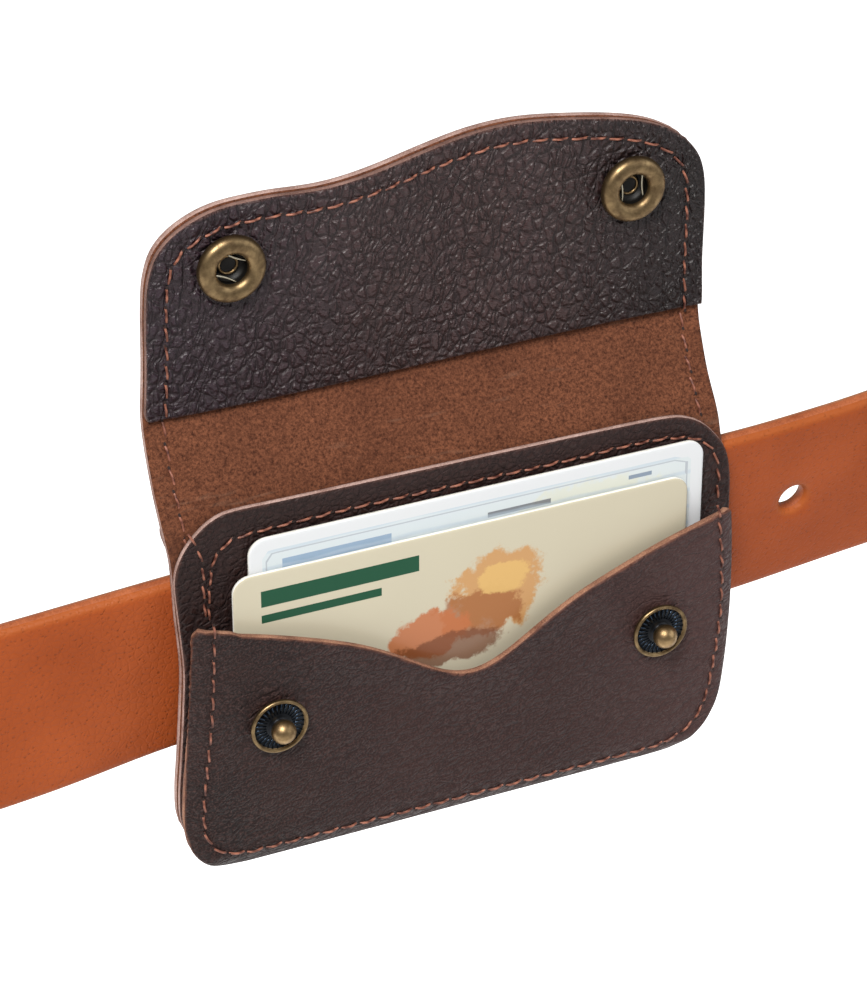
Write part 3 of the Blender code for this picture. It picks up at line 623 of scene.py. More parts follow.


# in these looks left, top and right are the tones at the left end, the middle and the right end, as painted
# shade and light
# the facing's left is a purple dye tint with painted shade, its near-black right is painted shade where the
# flap turns from the light
facingLook = {"cell": 2.2 * mm, "stretch": 0.8, "turn": 0.25, "creaseWidth": 0.26, "creaseShadeReach": 0.55,
              "creaseSoft": 0.5, "dome": 0.9, "warpSize": 6 * mm, "warp": 2.6 * mm, "fineShare": 0.6,
              "poreShare": 0.3, "depth": 0.38 * mm, "strength": 1.0, "wrinkle": 0.9, "wrinkleTurn": 1.25,
              "wrinkleGap": 2.4 * mm, "creaseShade": "#120a0b", "left": "#2b1e26", "top": "#3a2827",
              "right": "#0d0606", "drift": "#2c1f24", "driftShare": 0.4, "fleck": "#523c3c",
              "fleckShare": 0.16,
              "rough": 0.35, "shine": 0.4, "rub": 0.5, "rubbed": "#5c3c33"}
# the pocket's dark left is painted shade and its lighter right is painted light; the shell's back leather
# takes the same
pocketLook = {"cell": 1.3 * mm, "stretch": 1.7, "turn": 0.3, "creaseWidth": 0.2, "creaseShadeReach": 0.3,
              "creaseSoft": 0.9, "dome": 0.5, "warpSize": 4 * mm, "warp": 2.6 * mm, "fineShare": 0.9,
              "poreShare": 1.1, "depth": 0.1 * mm, "strength": 0.8, "wrinkle": 2.0, "wrinkleTurn": 0.32,
              "wrinkleGap": 2.6 * mm, "creaseShade": "#1d1110", "left": "#180c0b", "top": "#2a1918",
              "right": "#3f2b2a", "drift": "#341f1b", "driftShare": 0.4, "fleck": "#5a403c",
              "fleckShare": 0.5,
              "rough": 0.46, "shine": 0.24, "rub": 0.7, "rubbed": "#6f4636"}
backLook = dict(pocketLook, cell=1.6 * mm, stretch=1.2, depth=0.2 * mm, top="#33211f", wrinkle=0.8)
# the inner panel's darker left is painted shade
innerLook = dict(facingLook, cell=1.3 * mm, stretch=1.3, depth=0.14 * mm, left="#22120f", top="#2a1815",
                 right="#2a1714", drift="#2f1c19", rough=0.46, shine=0.25, wrinkle=0.4)
fleshLook = {"deep": "#371c12", "tip": "#825038", "scuff": "#94735f", "scuffShare": 0.3}
strapLook = {"deep": "#91421b", "light": "#a04c22", "pore": "#7c3914", "edge": "#a25a2c", "rough": 0.5}

innerLeather = grainLeather("creased_dark_leather", innerLook)
facingLeather = grainLeather("pebbled_dark_leather", facingLook)
pocketLeather = grainLeather("milled_dark_leather", pocketLook)
backLeather = grainLeather("dark_shell_leather", backLook)
fleshSide = fleshLeather("sueded_flesh_side", fleshLook)
strapGrain = harnessLeather("waxed_harness_leather", strapLook)
strapFlesh = fleshLeather("harness_flesh_side", {"deep": "#8a5433", "tip": "#b98058", "scuff": "#cfa27c",
                                                 "scuffShare": 0.3})
darkCut = cutEdge("cut_edge_dark_leather", {"dark": "#7a594e", "pale": "#bca097", "rough": 0.85})
pocketCut = cutEdge("cut_edge_pocket", {"dark": "#5c3628", "pale": "#a4785f", "rough": 0.85})
facingCut = cutEdge("cut_edge_facing", {"dark": "#543930", "pale": "#8c6c62", "rough": 0.8})
strapCut = cutEdge("burnished_strap_edge", {"dark": "#86401f", "pale": "#b8683e", "rough": 0.5})
brass = antiqueBrass("antique_brass", {"dull": "#5c4a35", "bright": "#97805d", "rough": 0.38})
brassBright = antiqueBrass("rubbed_brass", {"dull": "#6f5a40", "bright": "#a88d66", "rough": 0.36})
blackened = plainFinish("blackened_snap_dish", "#07090c", "#10141b", 1.2 * mm, 0.35, metallic=0.6)
blued = plainFinish("blued_snap_ridges", "#1c2430", "#3a4756", 1.2 * mm, 0.25, metallic=0.9)
springWire = plainFinish("spring_steel_wire", "#8d8776", "#c9c2ae", 2 * mm, 0.25, metallic=1.0)
# painted shade: near-black finish for the socket's well and lining, where the recess lies in shade
wellPaintedShade = plainFinish("snap_well_painted_shade", "#0b0a0a", "#17140f", 1 * mm, 0.5, metallic=0.3)
# the dark and light thread tones are painted shade and painted highlight
copperThread = twistedThread("bonded_copper_thread", {"dark": "#451f16", "light": "#9c6450"})
tanThread = twistedThread("bonded_tan_thread", {"dark": "#8a4424", "light": "#cc8a5c"})
# painted shade: the near-black finish of the needle-hole discs
holeShadeFinish = plainFinish("needle_hole_painted_shade", "#1a0e0b", "#2b1812", 0.5 * mm, 0.9)
print("materials made")


# geometry node trees
def newTree(name, inputs):
    tree = bpy.data.node_groups.new(name, "GeometryNodeTree")
    tree.interface.new_socket("Geometry", in_out="INPUT", socket_type="NodeSocketGeometry")
    for label, kind in inputs:
        tree.interface.new_socket(label, in_out="INPUT", socket_type="NodeSocket" + kind)
    tree.interface.new_socket("Geometry", in_out="OUTPUT", socket_type="NodeSocketGeometry")
    return tree, tree.nodes.new("NodeGroupInput").outputs


def bakeTree(name, mesh, tree, values):
    # the tree's result as a plain mesh on an object of its own
    ob = bpy.data.objects.new(name, mesh)
    mod = ob.modifiers.new("build", "NODES")
    mod.node_group = tree
    for item in tree.interface.items_tree:
        if item.in_out == "INPUT" and item.name in values:
            mod[item.identifier] = values[item.name]
    bpy.context.scene.collection.objects.link(ob)
    depsgraph = bpy.context.evaluated_depsgraph_get()
    baked = bpy.data.meshes.new_from_object(ob.evaluated_get(depsgraph))
    ob.modifiers.remove(mod)
    ob.data = baked
    return ob


def stitchTree():
    # a row of stitches along a path: each an arched thread that dives into its two needle holes
    tree, given = newTree("stitch row", [("Pitch", "Float"), ("Stitch Length", "Float"),
                                         ("Thread Radius", "Float"),
                                         ("Arch", "Float"), ("Slant", "Float"), ("Hole Radius", "Float"),
                                         ("Seed", "Int"), ("Thread", "Material"), ("Hole", "Material")])
    curve = addNode(tree, "GeometryNodeMeshToCurve", {}, {0: given["Geometry"]})
    row = addNode(tree, "GeometryNodeResampleCurve", {"mode": "LENGTH"},
                  {"Curve": curve.outputs[0], "Length": given["Pitch"]})
    tangent = addNode(tree, "GeometryNodeInputTangent")
    outward = addNode(tree, "GeometryNodeInputNamedAttribute", {"data_type": "FLOAT_VECTOR"},
                      {"Name": "outward"})
    along = addNode(tree, "FunctionNodeAlignRotationToVector", {"axis": "X"},
                    {"Vector": tangent.outputs[0]})
    facing = addNode(tree, "FunctionNodeAlignRotationToVector", {"axis": "Z", "pivot_axis": "X"},
                     {"Rotation": along.outputs[0], "Vector": outward.outputs[0]})
    waver = addNode(tree, "FunctionNodeRandomValue", {"data_type": "FLOAT"},
                    {2: -0.05, 3: 0.05, "Seed": given["Seed"]})
    slant = addNode(tree, "ShaderNodeMath", {"operation": "ADD"}, {0: given["Slant"], 1: waver.outputs[1]})
    turn = addNode(tree, "FunctionNodeAxisAngleToRotation", {},
                   {"Axis": (0, 0, 1), "Angle": slant.outputs[0]})
    rotation = addNode(tree, "FunctionNodeRotateRotation", {"rotation_space": "LOCAL"},
                       {"Rotation": facing.outputs[0], "Rotate By": turn.outputs[0]})
    half = addNode(tree, "ShaderNodeMath", {"operation": "MULTIPLY"}, {0: given["Stitch Length"], 1: 0.5})
    less = addNode(tree, "ShaderNodeMath", {"operation": "MULTIPLY"}, {0: half.outputs[0], 1: -1.0})
    dive = addNode(tree, "ShaderNodeMath", {"operation": "MULTIPLY"}, {0: given["Thread Radius"], 1: -1.3})
    crown = addNode(tree, "ShaderNodeMath", {"operation": "MULTIPLY"}, {0: given["Arch"], 1: 2.2})
    ends = [addNode(tree, "ShaderNodeCombineXYZ", {}, {0: x, 2: z}).outputs[0] for x, z in (
        (less.outputs[0], dive.outputs[0]), (0.0, crown.outputs[0]), (half.outputs[0], dive.outputs[0]))]
    bow = addNode(tree, "GeometryNodeCurveQuadraticBezier", {},
                  {"Resolution": 7, "Start": ends[0], "Middle": ends[1], "End": ends[2]})
    threadRound = addNode(tree, "GeometryNodeCurvePrimitiveCircle", {},
                     {"Resolution": 7, "Radius": given["Thread Radius"]})
    strand = addNode(tree, "GeometryNodeCurveToMesh", {},
                     {"Curve": bow.outputs[0], "Profile Curve": threadRound.outputs[0], "Fill Caps": True})
    smooth = addNode(tree, "GeometryNodeSetShadeSmooth", {}, {"Geometry": strand.outputs[0]})
    # painted shade: a flat dark disc just over the leather at one end of each stitch stands in for the
    # needle hole's shadow
    holeShadeDisc = addNode(tree, "GeometryNodeMeshCircle", {"fill_type": "NGON"},
                  {"Vertices": 10, "Radius": given["Hole Radius"]})
    holeShadeMove = addNode(tree, "ShaderNodeCombineXYZ", {}, {0: half.outputs[0], 2: 0.05 * mm})
    placed = addNode(tree, "GeometryNodeTransform", {},
                     {"Geometry": holeShadeDisc.outputs[0], "Translation": holeShadeMove.outputs[0],
                      "Scale": (1.25, 0.8, 1.0)})
    marked = addNode(tree, "GeometryNodeStoreNamedAttribute", {"data_type": "BOOLEAN", "domain": "FACE"},
                     {"Geometry": placed.outputs[0], "Name": "isHoleShade", "Value": True})
    one = addNode(tree, "GeometryNodeJoinGeometry")
    tree.links.new(smooth.outputs[0], one.inputs[0])
    tree.links.new(marked.outputs[0], one.inputs[0])
    many = addNode(tree, "GeometryNodeInstanceOnPoints", {},
                   {"Points": row.outputs[0], "Instance": one.outputs[0], "Rotation": rotation.outputs[0]})
    real = addNode(tree, "GeometryNodeRealizeInstances", {}, {0: many.outputs[0]})
    isHoleShade = addNode(tree, "GeometryNodeInputNamedAttribute", {"data_type": "BOOLEAN"}, {"Name": "isHoleShade"})
    thread = addNode(tree, "GeometryNodeSetMaterial", {},
                     {"Geometry": real.outputs[0], "Material": given["Thread"]})
    holes = addNode(tree, "GeometryNodeSetMaterial", {},
                    {"Geometry": thread.outputs[0], "Selection": isHoleShade.outputs[0],
                     "Material": given["Hole"]})
    addNode(tree, "NodeGroupOutput", {}, {0: holes.outputs[0]})
    return tree


def barTree():
    # a round bar along a path, its girth read from the path's points
    tree, given = newTree("swept bar", [("Bar Radius", "Float"), ("Sides", "Int"), ("Steps", "Int"),
                                        ("Finish", "Material")])
    curve = addNode(tree, "GeometryNodeMeshToCurve", {}, {0: given["Geometry"]})
    spline = addNode(tree, "GeometryNodeCurveSplineType", {"spline_type": "CATMULL_ROM"},
                     {0: curve.outputs[0]})
    fine = addNode(tree, "GeometryNodeResampleCurve", {"mode": "COUNT"},
                   {"Curve": spline.outputs[0], "Count": given["Steps"]})
    girth = addNode(tree, "GeometryNodeInputNamedAttribute", {"data_type": "FLOAT"}, {"Name": "girth"})
    sized = addNode(tree, "GeometryNodeSetCurveRadius", {},
                    {"Curve": fine.outputs[0], "Radius": girth.outputs[0]})
    ring = addNode(tree, "GeometryNodeCurvePrimitiveCircle", {},
                   {"Resolution": given["Sides"], "Radius": given["Bar Radius"]})
    bar = addNode(tree, "GeometryNodeCurveToMesh", {},
                  {"Curve": sized.outputs[0], "Profile Curve": ring.outputs[0], "Scale": girth.outputs[0],
                   "Fill Caps": True})
    smooth = addNode(tree, "GeometryNodeSetShadeSmooth", {}, {"Geometry": bar.outputs[0]})
    real = addNode(tree, "GeometryNodeRealizeInstances", {}, {0: smooth.outputs[0]})
    done = addNode(tree, "GeometryNodeSetMaterial", {},
                   {"Geometry": real.outputs[0], "Material": given["Finish"]})
    addNode(tree, "NodeGroupOutput", {}, {0: done.outputs[0]})
    return tree


def ridgeTree():
    # small tapered ridges set round a ring, pointing at its centre
    tree, given = newTree("ridge ring", [("Centre", "Vector"), ("Count", "Int"), ("Inner Radius", "Float"),
                                         ("Outer Radius", "Float"), ("Ridge Radius", "Float"),
                                         ("Finish", "Material")])
    total = addNode(tree, "ShaderNodeMath", {"operation": "ADD"},
                    {0: given["Inner Radius"], 1: given["Outer Radius"]})
    middle = addNode(tree, "ShaderNodeMath", {"operation": "MULTIPLY"}, {0: total.outputs[0], 1: 0.5})
    reach = addNode(tree, "ShaderNodeMath", {"operation": "SUBTRACT"},
                    {0: given["Outer Radius"], 1: given["Inner Radius"]})
    thin = addNode(tree, "ShaderNodeMath", {"operation": "MULTIPLY"}, {0: given["Ridge Radius"], 1: 0.55})
    ring = addNode(tree, "GeometryNodeCurvePrimitiveCircle", {},
                   {"Resolution": given["Count"], "Radius": middle.outputs[0]})
    where = addNode(tree, "GeometryNodeInputPosition")
    radial = addNode(tree, "FunctionNodeAlignRotationToVector", {"axis": "X"}, {"Vector": where.outputs[0]})
    cone = addNode(tree, "GeometryNodeMeshCone", {"fill_type": "NGON"},
                   {"Vertices": 8, "Radius Top": given["Ridge Radius"], "Radius Bottom": thin.outputs[0],
                    "Depth": reach.outputs[0]})
    backHalf = addNode(tree, "ShaderNodeMath", {"operation": "MULTIPLY"}, {0: reach.outputs[0], 1: -0.5})
    backMove = addNode(tree, "ShaderNodeCombineXYZ", {}, {0: backHalf.outputs[0]})
    laid = addNode(tree, "GeometryNodeTransform", {},
                   {"Geometry": cone.outputs[0], "Translation": backMove.outputs[0],
                    "Rotation": (0, pi / 2, 0)})
    many = addNode(tree, "GeometryNodeInstanceOnPoints", {},
                   {"Points": ring.outputs[0], "Instance": laid.outputs[0], "Rotation": radial.outputs[0]})
    stood = addNode(tree, "GeometryNodeTransform", {},
                    {"Geometry": many.outputs[0], "Translation": given["Centre"],
                     "Rotation": (pi / 2, 0, 0)})
    one = addNode(tree, "GeometryNodeJoinGeometry")
    tree.links.new(given["Geometry"], one.inputs[0])
    tree.links.new(stood.outputs[0], one.inputs[0])
    real = addNode(tree, "GeometryNodeRealizeInstances", {}, {0: one.outputs[0]})
    smooth = addNode(tree, "GeometryNodeSetShadeSmooth", {}, {"Geometry": real.outputs[0]})
    done = addNode(tree, "GeometryNodeSetMaterial", {},
                   {"Geometry": smooth.outputs[0], "Material": given["Finish"]})
    addNode(tree, "NodeGroupOutput", {}, {0: done.outputs[0]})
    return tree


stitching = stitchTree()
sweeping = barTree()
ridging = ridgeTree()


def pathMesh(name, points, closed=False, outward=None, girth=None):
    mesh = bpy.data.meshes.new(name)
    n = len(points)
    edges = [(i, i + 1) for i in range(n - 1)] + ([(n - 1, 0)] if closed else [])
    mesh.from_pydata([tuple(p) for p in points], edges, [])
    if outward is not None:
        data = mesh.attributes.new("outward", "FLOAT_VECTOR", "POINT").data
        data.foreach_set("vector", np.array(outward, np.float32).ravel())
    values = np.ones(n, np.float32) if girth is None else np.array(girth, np.float32)
    mesh.attributes.new("girth", "FLOAT", "POINT").data.foreach_set("value", values)
    return mesh


def joinPieces(name, pieces):
    # several meshes as one object, materials kept
    bm = bmesh.new()
    mats = []
    for piece in pieces:
        start = len(bm.faces)
        bm.from_mesh(piece.data)
        bm.faces.ensure_lookup_table()
        slots = []
        for mat in piece.data.materials:
            if mat not in mats:
                mats.append(mat)
            slots.append(mats.index(mat))
        for face in bm.faces[start:]:
            face.material_index = slots[face.material_index] if slots else 0
    mesh = bpy.data.meshes.new(name)
    bm.to_mesh(mesh)
    bm.free()
    for mat in mats:
        mesh.materials.append(mat)
    for piece in pieces:
        bpy.data.objects.remove(piece)
    return newObject(name, mesh)


def turnedPiece(name, bands, centre, steps=72):
    # profiles of (radius, distance towards the viewer) turned about an axis along Y; each band has its
    # finish
    bm = bmesh.new()
    mats = []
    for profile, mat in bands:
        mats.append(mat)
        rings = []
        for r, h in profile:
            if r < 1e-6:
                rings.append([bm.verts.new((centre[0], centre[1] - h, centre[2]))])
            else:
                rings.append([bm.verts.new((centre[0] + r * cos(a), centre[1] - h, centre[2] + r * sin(a)))
                              for a in (2 * pi * i / steps for i in range(steps))])
        for low, high in zip(rings, rings[1:]):
            for i in range(steps):
                j = (i + 1) % steps
                corner = [low[i % len(low)], low[j % len(low)], high[j % len(high)], high[i % len(high)]]
                unique = [v for k, v in enumerate(corner) if v not in corner[:k]]
                face = bm.faces.new(unique)
                face.material_index = len(mats) - 1
                face.smooth = True
    bmesh.ops.remove_doubles(bm, verts=bm.verts, dist=1e-6)
    bmesh.ops.recalc_face_normals(bm, faces=bm.faces)
    mesh = bpy.data.meshes.new(name)
    bm.to_mesh(mesh)
    bm.free()
    for mat in mats:
        mesh.materials.append(mat)
    return newObject(name, mesh)


def fitted(ob, body, slotName, *nodes):
    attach(ob, body)
    if nodes:
        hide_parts(*nodes)
    return ob


# outlines and sewn lines, as (x, z)
def roundedBox(half, low, high, rLow, rHigh):
    return (arcPoints(half - rLow, low + rLow, rLow, -90, 0)
            + arcPoints(half - rHigh, high - rHigh, rHigh, 0, 90)
            + arcPoints(-half + rHigh, high - rHigh, rHigh, 90, 180)
            + arcPoints(-half + rLow, low + rLow, rLow, 180, 270))


def throughKnots(knots, closed=True, steps=8):
    # a smooth line drawn through a few points, given in millimetres
    pts = np.array(knots, float) * mm
    if closed:
        pts = np.vstack([pts[-1:], pts, pts[:2]])
    else:
        pts = np.vstack([2 * pts[:1] - pts[1:2], pts, 2 * pts[-1:] - pts[-2:-1]])
    curve = []
    for a, b, c, d in zip(pts, pts[1:], pts[2:], pts[3:]):
        for t in np.arange(steps) / steps:
            curve.append(0.5 * (2 * b + (c - a) * t + (2 * a - 5 * b + 4 * c - d) * t ** 2
                                + (3 * b - a - 3 * c + d) * t ** 3))
    if not closed:
        curve.append(pts[-2])
    return [tuple(p) for p in curve]


def movedIn(line, inset):
    # an open line moved to its right-hand side by inset(x)
    pts = np.array(line)
    t = np.gradient(pts, axis=0)
    t /= np.linalg.norm(t, axis=1)[:, None]
    deep = np.array([inset(x) for x in pts[:, 0]])
    return [tuple(p) for p in pts + np.stack([t[:, 1], -t[:, 0]], -1) * deep[:, None]]


# hand-cut leather: the sides draw in where the belt passes, and no two corners are quite alike
lowRight = [(33, -42.6), (41, -41.6), (46.6, -38.8), (49.8, -34.4), (51.4, -28), (52.2, -20), (52.6, -12)]
lowLeft = [(-51.4, -10), (-52.2, -20), (-52.9, -28), (-52.6, -34), (-50, -38.8), (-44.5, -42), (-36, -42.9)]
sideRight, sideLeft = [(52.7, -2), (52.8, 6), (52.6, 12)], [(-52, 16), (-51.6, 8), (-51, -2)]
panelTop = [(51.6, 17), (49.4, 20.6), (46.6, 23.6), (43, 25.6), (39, 26.3), (30, 26.6), (0, 26.9),
            (-30, 27.1),
            (-41, 27.2), (-44.9, 26.3), (-48, 24), (-50.6, 20.6)]
flapEdge = [(50.2, 30), (50.8, 36), (51.3, 42), (51, 50), (51, 61), (50.5, 67), (49, 71), (45.5, 74.9),
            (40.5, 77.8), (34, 79.8), (26, 81.2), (17, 81.9), (8, 81.6), (-1, 80.6), (-11, 79.2),
            (-21, 78.1),
            (-30, 77.9), (-38.5, 77.3), (-44.5, 75.1), (-48.6, 71.6), (-50.5, 67), (-51.2, 61), (-51.6, 50),
            (-52.2, 41), (-52.8, 34), (-53.1, 29)]
pocketEdge = [(-50.7, 8.4), (-51.1, 0), (-51.7, -9), (-52.5, -18), (-53.2, -26), (-53.3, -32.5),
              (-52, -37.6),
              (-48.6, -40.8), (-43.5, -42.1), (-36, -42.3), (0, -42.1), (35, -41.8), (42, -40.4),
              (46.6, -37.2),
              (49.2, -32), (50.5, -25.5), (51.3, -18), (51.6, -10), (51.2, 0), (50.4, 8.4)]
loopSide = [(36, -42.6), (44, -41.7), (48.4, -38.6), (49.8, -34), (49.4, -30), (48.4, -24), (48.2, -10),
            (48.4, 4),
            (49.4, 14), (51, 20), (50.2, 24), (47, 27), (40, 27.9)]
panelOutline = throughKnots([(0, -42.7)] + lowRight + sideRight + panelTop + sideLeft + lowLeft)
shellOutline = throughKnots([(0, -42.7)] + lowRight + sideRight + [(51.4, 19), (50.5, 25)] + flapEdge
                            + [(-52.9, 24), (-52, 18)] + sideLeft[1:] + lowLeft)
loopOutline = throughKnots([(0, -42.7)] + loopSide + [(0, 27.9)] + [(-x, z) for x, z in reversed(loopSide)])
flapLine = [p for p in throughKnots(flapEdge, closed=False) if p[1] > pouch["facingLow"]]


def facingOutline():
    left, right = flapLine[-1], flapLine[0]
    low = [(x, pouch["facingLow"] + 0.35 * mm * sin(x / (19 * mm)))
           for x in np.linspace(left[0] + 0.6 * mm, right[0] - 0.6 * mm, 60)]
    return flapLine + low


def bodySeam():
    # down one side of the pocket, round the bottom and up the other side
    return movedIn(throughKnots(list(reversed(pocketEdge)), closed=False), lambda x: 3.0 * mm - 0.008 * x)


panelSeam = [(-46.2, 8.2), (-46, 12), (-45.4, 16.5), (-44.2, 19.8), (-41.5, 21.6), (-36, 22.3), (-18, 22.6),
             (3, 22.4), (20, 22.3), (32, 22.5), (40, 22.1), (46.2, 20.3), (49.2, 17), (50.3, 13),
             (50.4, 8.6)]
flapSewn = throughKnots([(50.9, 22.5), (50.4, 26)] + flapEdge + [(-53, 25), (-52.7, 21.5)], closed=False)
flapSeam = movedIn(list(reversed(flapSewn)), lambda x: 3.5 * mm)
seams = {"body": bodySeam(), "panel": throughKnots(panelSeam, closed=False), "flap": flapSeam,
         "flapFoot": throughKnots([(-48.6, 23.4), (-47.5, 20.6), (-47, 16.8), (-47, 12.5), (-46.9, 9)],
                                  closed=False)}
stitchLook = {"pitch": 3.5 * mm, "length": 2.85 * mm, "radius": 0.22 * mm, "arch": 0.2 * mm, "slant": 0.12,
              "hole": 0.3 * mm}


def seamGroove(path, deep=0.3 * mm, wide=1.1 * mm):
    # leather pulled in along a sewn line
    return lambda x, z: -deep * np.exp(-(pathDistance(x, z, path) / wide) ** 2)


def stitchRow(name, path, place, out, thread, look=stitchLook, slant=1.0, seed=3):
    # stitches along (u, v) points, on the face of a sheet that lies 'out' from its middle
    pts = np.array(path, float)
    sign = 1.0 if out > 0 else -1.0
    xyz, normal = place(pts[:, 0], pts[:, 1], np.full(len(pts), out))
    return bakeTree(name, pathMesh(name, xyz, outward=normal * sign), stitching,
                    {"Pitch": look["pitch"], "Stitch Length": look["length"],
                     "Thread Radius": look["radius"],
                     "Arch": look["arch"], "Slant": look["slant"] * slant, "Hole Radius": look["hole"],
                     "Seed": seed, "Thread": thread, "Hole": holeShadeFinish})


# pouch leather
pocketPlace, innerPlace = heightPlace(pocketY), heightPlace(flatAt((panelLow.y + panelHigh.y) / 2))
loopPlace, shellPlace, facingPlace = heightPlace(loopPanelY), heightPlace(shellY), heightPlace(facingY)


def pocketRelief(x, z, distance):
    groove = seamGroove(seams["body"])(x, z)
    folds = 0.22 * mm * softNoise(x, z * 2.4 + x * 0.8, 17 * mm, 2.0)
    folds = folds + 0.1 * mm * softNoise(x, z, 5 * mm, 5.0)
    dents = sum(-0.35 * mm * np.exp(-(np.hypot(x - sx, z - studZ) - 5.2 * mm) ** 2 / (2.2 * mm) ** 2)
                for sx in (-snapX, snapX))
    return groove + (folds + dents) * smoothStep((distance - 1 * mm) / (5 * mm))


def makePocket():
    right, left = pocketEdge[-1][0] * mm - 0.8 * mm, pocketEdge[0][0] * mm + 0.8 * mm
    top = [(x, float(pocketTopZ(x)) + 0.5 * mm * (x < -44 * mm)) for x in np.linspace(right, left, 70)]
    shape = throughKnots(pocketEdge, closed=False)[1:-1] + top
    look = {"outline": shape, "holes": [arcPoints(sx, studZ, 2.2 * mm, 0, 350, 35)
                                        for sx in (-snapX, snapX)],
            "place": pocketPlace, "thick": pouch["pocketThick"], "relief": pocketRelief, "rough": 0.06 * mm,
            "edgeRound": 0.4 * mm, "edgeLeft": 0.72}
    ob = sheetMesh("pocketLeather", look, [pocketLeather, fleshSide, pocketCut])
    return fitted(ob, "pouch", "dark_leather", "front_pocket")


def panelRelief(x, z, distance):
    waves = 0.12 * mm * softNoise(x, z, 9 * mm, 8.0) * smoothStep(distance / mm)
    return seamGroove(seams["panel"])(x, z) + waves


def makeBodyPanels():
    inner = {"outline": panelOutline, "place": innerPlace, "thick": pouch["innerThick"],
             "relief": panelRelief,
             "edgeLeft": 0.75, "rough": 0.04 * mm, "grid": 1.3 * mm}
    fitted(sheetMesh("innerPanelLeather", inner, [innerLeather, fleshSide, darkCut]), "pouch",
           "dark_leather",
           "inner_panel")

    def pulled(x, z, distance):
        return 0.1 * mm * softNoise(x, z, 8 * mm, 11.0) * smoothStep(distance / mm)

    loop = {"outline": loopOutline, "place": loopPlace, "thick": pouch["loopPanelThick"], "relief": pulled,
            "edgeRound": 0.6 * mm, "edgeLeft": 0.65, "rough": 0.04 * mm, "grid": 1.3 * mm}
    fitted(sheetMesh("beltLoopLeather", loop, [fleshSide, backLeather, darkCut]), "pouch", "dark_leather",
           "belt_loop_panel")


def makeShell():
    # the back of the pouch and its flap are one length of leather, which folds over the top
    look = {"outline": shellOutline,
            "holes": [arcPoints(sx, socketZ, 3.2 * mm, 0, 350, 35) for sx in (-snapX, snapX)],
            "place": shellPlace, "thick": pouch["shellThick"], "edgeRound": 0.5 * mm, "rough": 0.04 * mm,
            "relief": lambda x, z, d: seamGroove(seams["flap"], 0.25 * mm)(x, z)
            + 0.15 * mm * softNoise(x, z, 11 * mm, 14.0) * smoothStep(d / (3 * mm))}
    ob = sheetMesh("shellLeather", look, [fleshSide, backLeather, darkCut])
    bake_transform(ob)
    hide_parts("shell_back", "flap")
    return ob


def makeFacing():
    look = {"outline": facingOutline(),
            "holes": [arcPoints(sx, socketZ, 3.2 * mm, 0, 350, 35) for sx in (-snapX, snapX)],
            "place": facingPlace, "thick": pouch["facingThick"], "rough": 0.04 * mm,
            "relief": lambda x, z, d: seamGroove(seams["flap"])(x, z)
            + 0.3 * mm * softNoise(x * 1.6, z * 0.8 - x * 0.5, 12 * mm,
                                   17.0) * smoothStep((d - 1 * mm) / (4 * mm))
            + sum(-0.3 * mm * np.exp(-(np.hypot(x - sx, z - socketZ) - 6.2 * mm) ** 2 / (1.8 * mm) ** 2)
                  for sx in (-snapX, snapX))}
    return fitted(sheetMesh("flapFacingLeather", look, [facingLeather, fleshSide, facingCut]), "flap",
                  "dark_leather",
                  "flap_facing")


makePocket()
makeBodyPanels()
makeShell()
makeFacing()
print("pouch leather made")


# sewn lines of the pouch
def makePouchStitches():
    front = stitchRow("bodyStitchFront", seams["body"], pocketPlace, pouch["pocketThick"] / 2 - 0.08 * mm,
                      copperThread)
    # the belt's tunnel is open at its sides, so on the back the thread only shows along its two ends
    foot = [p for p in seams["body"] if p[1] < -36 * mm]
    back = stitchRow("bodyStitchBack", foot, loopPlace, -pouch["loopPanelThick"] / 2 - 0.02 * mm,
                     copperThread,
                     slant=-1.0, seed=5)
    fitted(joinPieces("bodyStitches", [front, back]), "pouch", "copper_thread", "seam_body")
    front = stitchRow("panelStitchFront", seams["panel"], innerPlace, pouch["innerThick"] / 2 - 0.06 * mm,
                      copperThread, seed=7)
    second = stitchRow("panelStitchSecond", seams["flapFoot"], innerPlace,
                       pouch["innerThick"] / 2 - 0.06 * mm,
                       copperThread, seed=19)
    head = [p for p in seams["panel"] if p[1] > 20 * mm]
    back = stitchRow("panelStitchBack", head, loopPlace, -pouch["loopPanelThick"] / 2 - 0.02 * mm,
                     copperThread,
                     slant=-1.0, seed=9)
    fitted(joinPieces("panelStitches", [front, second, back]), "pouch", "copper_thread", "seam_panel")


def makeFlapStitches():
    line = seams["flap"]
    lowZ = pouch["facingLow"] + 0.8 * mm
    first = next(i for i, p in enumerate(line) if p[1] > lowZ)
    last = len(line) - next(i for i, p in enumerate(reversed(line)) if p[1] > lowZ)
    half = pouch["shellThick"] / 2
    pieces = [stitchRow("flapStitchFacing", line[first:last], facingPlace,
                        pouch["facingThick"] / 2 - 0.1 * mm, copperThread),
              stitchRow("flapStitchRight", line[:first + 1], shellPlace, half - 0.06 * mm, copperThread,
                        seed=11),
              stitchRow("flapStitchLeft", line[last - 1:], shellPlace, half - 0.06 * mm, copperThread,
                        seed=13),
              stitchRow("flapStitchBack", line, shellPlace, -half + 0.02 * mm, copperThread, slant=-1.0,
                        seed=15)]
    ob = joinPieces("flapStitches", pieces)
    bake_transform(ob)
    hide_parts("seam_flap")


makePouchStitches()
makeFlapStitches()
print("stitches made")


# snaps
studLook = {"rim": 5.3 * mm, "ringOuter": 4.55 * mm, "ringInner": 2.45 * mm, "ball": 2.2 * mm,
            "tall": 4.5 * mm,
            "neck": 1.45 * mm, "ridges": 30, "ridge": 0.15 * mm}


